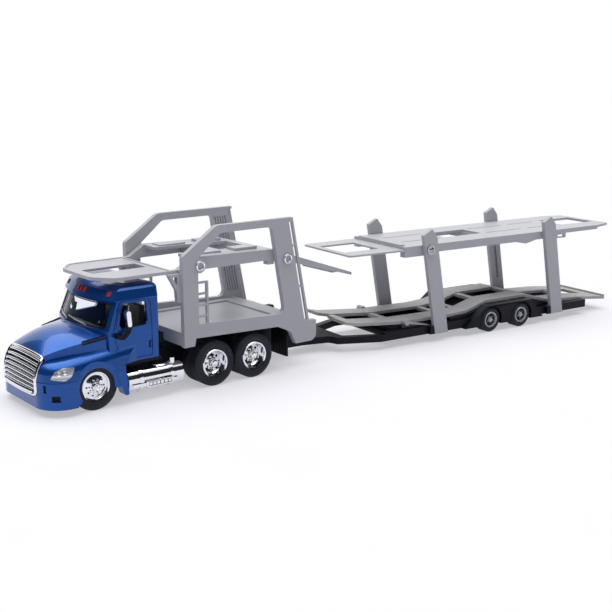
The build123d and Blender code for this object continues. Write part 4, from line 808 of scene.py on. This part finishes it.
# Headrack, its deck and ramp: grey ABS mouldings with a satin mould finish, riveted together. Flow lines
# and slight sink marks vary the grey, and the grain gives a soft sheen at low angles.
def grey_moulding(name, specular, shades, dullness):
    """Grey ABS between two shades and two roughnesses, its grain drawn at 0.4 mm, coarser than real."""
    material, tree, shader, place = new_material(name, Specular_IOR_Level=specular)
    flow = add(
        tree, "ShaderNodeTexNoise",
        Vector=place, Scale=1 / (25 * MM), Detail=3.0, Distortion=0.6,
    )
    tone = add(
        tree, "ShaderNodeMixRGB", Fac=flow.outputs["Fac"],
        Color1=colour(shades[0]), Color2=colour(shades[1]),
    )
    grain = add(tree, "ShaderNodeTexNoise", Vector=place, Scale=1 / (0.4 * MM), Detail=2.0)
    rough = add(
        tree, "ShaderNodeMapRange", Value=grain.outputs["Fac"],
        To_Min=dullness[0], To_Max=dullness[1],
    )
    bump = add(tree, "ShaderNodeBump", Strength=0.2, Distance=0.03 * MM, Height=grain.outputs["Fac"])
    feed(shader, Base_Color=tone, Roughness=rough, Normal=bump)
    return material


grey = grey_moulding("grey_abs_moulding", 0.5, ("#b9b9bc", "#c3c3c6"), (0.32, 0.5))
dress(grey, "rack_frame_left", "rack_frame_right", "rack_floor", "rack_pins")
dress(grey, "deck_gussets", "tractor_deck", "tractor_ramp")

# Rivet rings: a bright plated ring over each of the four rivets that carry the deck and the ramp, two
# on each side of the headrack. It is a painted highlight on the grey rivet heads' rounded edges.
RIVET_Y = 30.9
# Columns: x, z of the rivets
RIVETS = [(69.0, 64.6), (13.6, 62.1)]
# Columns: radius, y from the rivet's head
HIGHLIGHT_RING = [
    (1.7, -0.5), (1.72, 0.1), (1.9, 0.28), (2.2, 0.34), (2.5, 0.28), (2.68, 0.1), (2.7, -0.5),
    (1.7, -0.5),
]
HIGHLIGHT_RING_STEPS = 36
# Painted highlight: a mirror-bright ring round each grey rivet head
ring = turned("rivet_painted_highlight_rings", HIGHLIGHT_RING, HIGHLIGHT_RING_STEPS)
ring = repeat(ring, [Matrix.Translation((x, RIVET_Y, z)) for x, z in RIVETS])
settle(sides(ring), plating, "tractor", smooth=50)

# Trailer frame: a drawbar, two rails and a skirt round the wheels, one black ABS moulding like the
# tractor's. The posts and the lower deck are pressed into it.
dress(black, "trailer_chassis")

# Wheel panels: the outer face of the trailer's skirt, a black plate round the top of both wheels,
# moulded in one with the frame. The decks' runners rest above it.
ARCH_PLAY = 0.8
ARCH_STEPS = 14
# Inner and outer face, lower and upper edge, the ends' places at the foot and how far each slopes in,
# and the sunk middle of the outer face
PANEL_Y = (22.6, 28.3)
PANEL_LOW, PANEL_HIGH = 4.6, 17.0
PANEL_FRONT, PANEL_REAR = -120.0, -186.0
FRONT_SLOPE, REAR_SLOPE = 17.0, 10.0
PANEL_RIM, PANEL_EDGE, PANEL_SUNK = 0.35, 0.15, 0.2
outline = [
    (PANEL_FRONT, PANEL_LOW),
    (PANEL_FRONT - FRONT_SLOPE, PANEL_HIGH),
    (PANEL_REAR + REAR_SLOPE, PANEL_HIGH),
    (PANEL_REAR, PANEL_LOW),
]
for axle, body, x, radius, *rest in reversed(AXLES):
    if axle.startswith("trailer"):
        reach = radius + ARCH_PLAY
        first = math.asin((PANEL_LOW - radius) / reach)
        sweep = math.pi - 2 * first
        for i in range(ARCH_STEPS + 1):
            angle = math.pi - first - sweep * i / ARCH_STEPS
            outline.append((x + reach * math.cos(angle), radius + reach * math.sin(angle)))
panel = wire("trailer_wheel_panels", [(x, PANEL_Y[0], z) for x, z in [*outline, outline[0]]])
weld()
bpy.ops.mesh.edge_face_add()
bpy.ops.mesh.extrude_region_move(TRANSFORM_OT_translate={"value": (0, PANEL_Y[1] - PANEL_Y[0], 0)})
face_out()
pick(panel, leftward)
bpy.ops.mesh.inset(thickness=PANEL_RIM, depth=0.0)
bpy.ops.mesh.inset(thickness=PANEL_EDGE, depth=-PANEL_SUNK)
panel = sides(panel)
panel.matrix_world = TRAILER_TURN
settle(panel, black, "trailer", smooth=30)

# Trailer posts and decks: grey ABS mouldings like the headrack's, the posts pressed into the frame. The
# lower deck comes from a duller, warmer batch.
dress(grey, "trailer_posts", "upper_deck", "deck_flap")
dull = grey_moulding("dull_grey_abs_moulding", 0.35, ("#b4b3b0", "#c2c1bd"), (0.45, 0.65))
dress(dull, "lower_deck")

# Deck screws: bright steel screws driven through the front posts, on which the upper deck tilts. Each
# has a domed head with a cross recess, filled black as painted shade.
dress(steel, "tilt_screws")
SCREW_AT = (-90.8, 28.6, 56.7)
# Columns: radius, y from the post
SCREW = [(0, 0), (1.65, 0), (1.62, 0.3), (1.3, 0.62), (0.8, 0.78), (0, 0.82)]
SCREW_STEPS = 32
CROSS_SIZE = (2.0, 0.3, 0.42)
CROSS_Y, CROSS_EDGE, CROSS_SUNK = 0.7, 0.08, 0.1
CROSS_TURNS = (35, 125)
screws = [TRAILER_TURN @ side @ Matrix.Translation(SCREW_AT) for side in (STAY, MIRROR)]
head = repeat(turned("deck_screw_heads", SCREW, SCREW_STEPS), screws)
settle(outward(head), steel, "trailer", smooth=40)
# Painted shade: black bars in each head's cross recess
cross = slab("deck_screw_painted_shade_slots", CROSS_SIZE, (0, CROSS_Y, 0))
pick(cross, leftward)
bpy.ops.mesh.inset(thickness=CROSS_EDGE, depth=-CROSS_SUNK)
turns = [Matrix.Rotation(math.radians(angle), 4, "Y") for angle in CROSS_TURNS]
cross = repeat(cross, [screw @ turn for screw in screws for turn in turns])
settle(outward(cross), black, "trailer", smooth=30)

# The table top: one white sheet of card under the toy, as in a small product studio. It is matt, so
# it takes the soft shadow under the wheels and shows no shine.
FLOOR_SIZE = 12.0
# How much of the sheet's look is plain white, the rest being lit card that keeps the shadow
FLOOR_WHITE = 0.45


def in_view(tree):
    """1 where a surface is seen, through clear plastic and in plating too, and 0 where it gives light."""
    path = add(tree, "ShaderNodeLightPath")
    seen = add(
        tree, "ShaderNodeMath", {"operation": "MAXIMUM"},
        _0=path.outputs["Is Camera Ray"], _1=path.outputs["Is Transmission Ray"],
    )
    seen = add(
        tree, "ShaderNodeMath", {"operation": "MAXIMUM"},
        _0=seen.outputs[0], _1=path.outputs["Is Glossy Ray"],
    )
    return seen.outputs[0]


bpy.ops.object.select_all(action="DESELECT")
bpy.ops.mesh.primitive_plane_add(size=FLOOR_SIZE, location=(0, 0, 0))
floor = bpy.context.object
floor.name = "studio_floor"
card, tree, shader, place = new_material("white_card", Roughness=0.9, Specular_IOR_Level=0.1)
fibre = add(tree, "ShaderNodeTexNoise", Vector=place, Scale=1 / (40 * MM), Detail=4.0)
tone = add(
    tree, "ShaderNodeMixRGB", Fac=fibre.outputs["Fac"],
    Color1=colour("#f8f8fa"), Color2=colour("#fdfdfe"),
)
seen = in_view(tree)
tone = add(tree, "ShaderNodeMixRGB", Fac=seen, Color1=colour("#cbcbd0"), Color2=tone.outputs[0])
feed(shader, Base_Color=tone)
share = add(tree, "ShaderNodeMath", {"operation": "MULTIPLY"}, _0=seen, _1=FLOOR_WHITE)
glow = add(tree, "ShaderNodeEmission", Color=colour("#fbfaff"), Strength=1.0)
mixed = add(
    tree, "ShaderNodeMixShader",
    _0=share.outputs[0], _1=shader.outputs[0], _2=glow.outputs[0],
)
tree.links.new(mixed.outputs[0], tree.nodes["Material Output"].inputs["Surface"])
floor.data.materials.append(card)

# The light: a white room that lights the toy evenly and a broad soft lamp overhead. A dark curtain
# stands behind the camera for reflections alone, so plating and enamel show a horizon.
world = bpy.data.worlds.new("studio")
bpy.context.scene.world = world
world.use_nodes = True
tree = world.node_tree
tree.nodes.clear()
fill = add(tree, "ShaderNodeBackground", Color=colour("#e6e8fb"), Strength=0.32)
white = add(tree, "ShaderNodeBackground", Color=colour("#ffffff"), Strength=1.0)
mixed = add(
    tree, "ShaderNodeMixShader",
    _0=in_view(tree), _1=fill.outputs[0], _2=white.outputs[0],
)
add(tree, "ShaderNodeOutputWorld", Surface=mixed.outputs[0])

LAMP_STRENGTH = 2.6
LAMP_WIDE = math.radians(75)
LAMP_AIM = Vector((0.04, 0.1, -1.0))
lamp = bpy.data.lights.new("key", "SUN")
lamp.energy = LAMP_STRENGTH
lamp.angle = LAMP_WIDE
key = bpy.data.objects.new("key", lamp)
bpy.context.scene.collection.objects.link(key)
key.rotation_euler = LAMP_AIM.to_track_quat("-Z", "Y").to_euler()

# Curtain: how far off it hangs, its foot and top in metres, its flats, the way to its middle, and the
# share of its reach past which the far part is left out
CURTAIN_FAR = 1.6
CURTAIN_LOW, CURTAIN_HIGH = 0.02, 1.5
CURTAIN_FLATS = 96
CURTAIN_MIDDLE = Vector((0.63, 0.78, 0))
CURTAIN_BACK = -0.57
bpy.ops.object.select_all(action="DESELECT")
bpy.ops.mesh.primitive_cylinder_add(
    vertices=CURTAIN_FLATS, radius=CURTAIN_FAR, depth=CURTAIN_HIGH - CURTAIN_LOW,
    location=(0, 0, (CURTAIN_LOW + CURTAIN_HIGH) / 2), end_fill_type="NOTHING",
)
curtain = bpy.context.object
curtain.name = "studio_curtain"
bpy.ops.object.mode_set(mode="EDIT")
pick(curtain, lambda at, normal: at.dot(CURTAIN_MIDDLE) < CURTAIN_BACK * CURTAIN_FAR)
bpy.ops.mesh.delete(type="FACE")
only(curtain)
curtain.visible_camera = False
curtain.visible_diffuse = False
curtain.visible_transmission = False
curtain.visible_shadow = False
cloth = new_material("dark_curtain", Base_Color=colour("#1c1e24"), Roughness=0.9)[0]
curtain.data.materials.append(cloth)

# The camera stands where the photograph was taken: in front of the toy's left corner, low over the
# table. Its place and lens were worked out from the wheels, posts and decks.
CAMERA_PLACE = Vector((354.6, 471.2, 162.8)) * MM
CAMERA_TARGET = Vector((-23.26, 0.0, 25.55)) * MM
camera_data = bpy.data.cameras.new("camera")
camera_data.sensor_width = 36.0
camera_data.lens = 62.47
camera_data.clip_start = 0.01
camera = bpy.data.objects.new("camera", camera_data)
bpy.context.scene.collection.objects.link(camera)
camera.location = CAMERA_PLACE
camera.rotation_euler = (CAMERA_TARGET - CAMERA_PLACE).to_track_quat("-Z", "Y").to_euler()
bpy.context.scene.camera = camera
bpy.context.scene.view_settings.view_transform = "Standard"
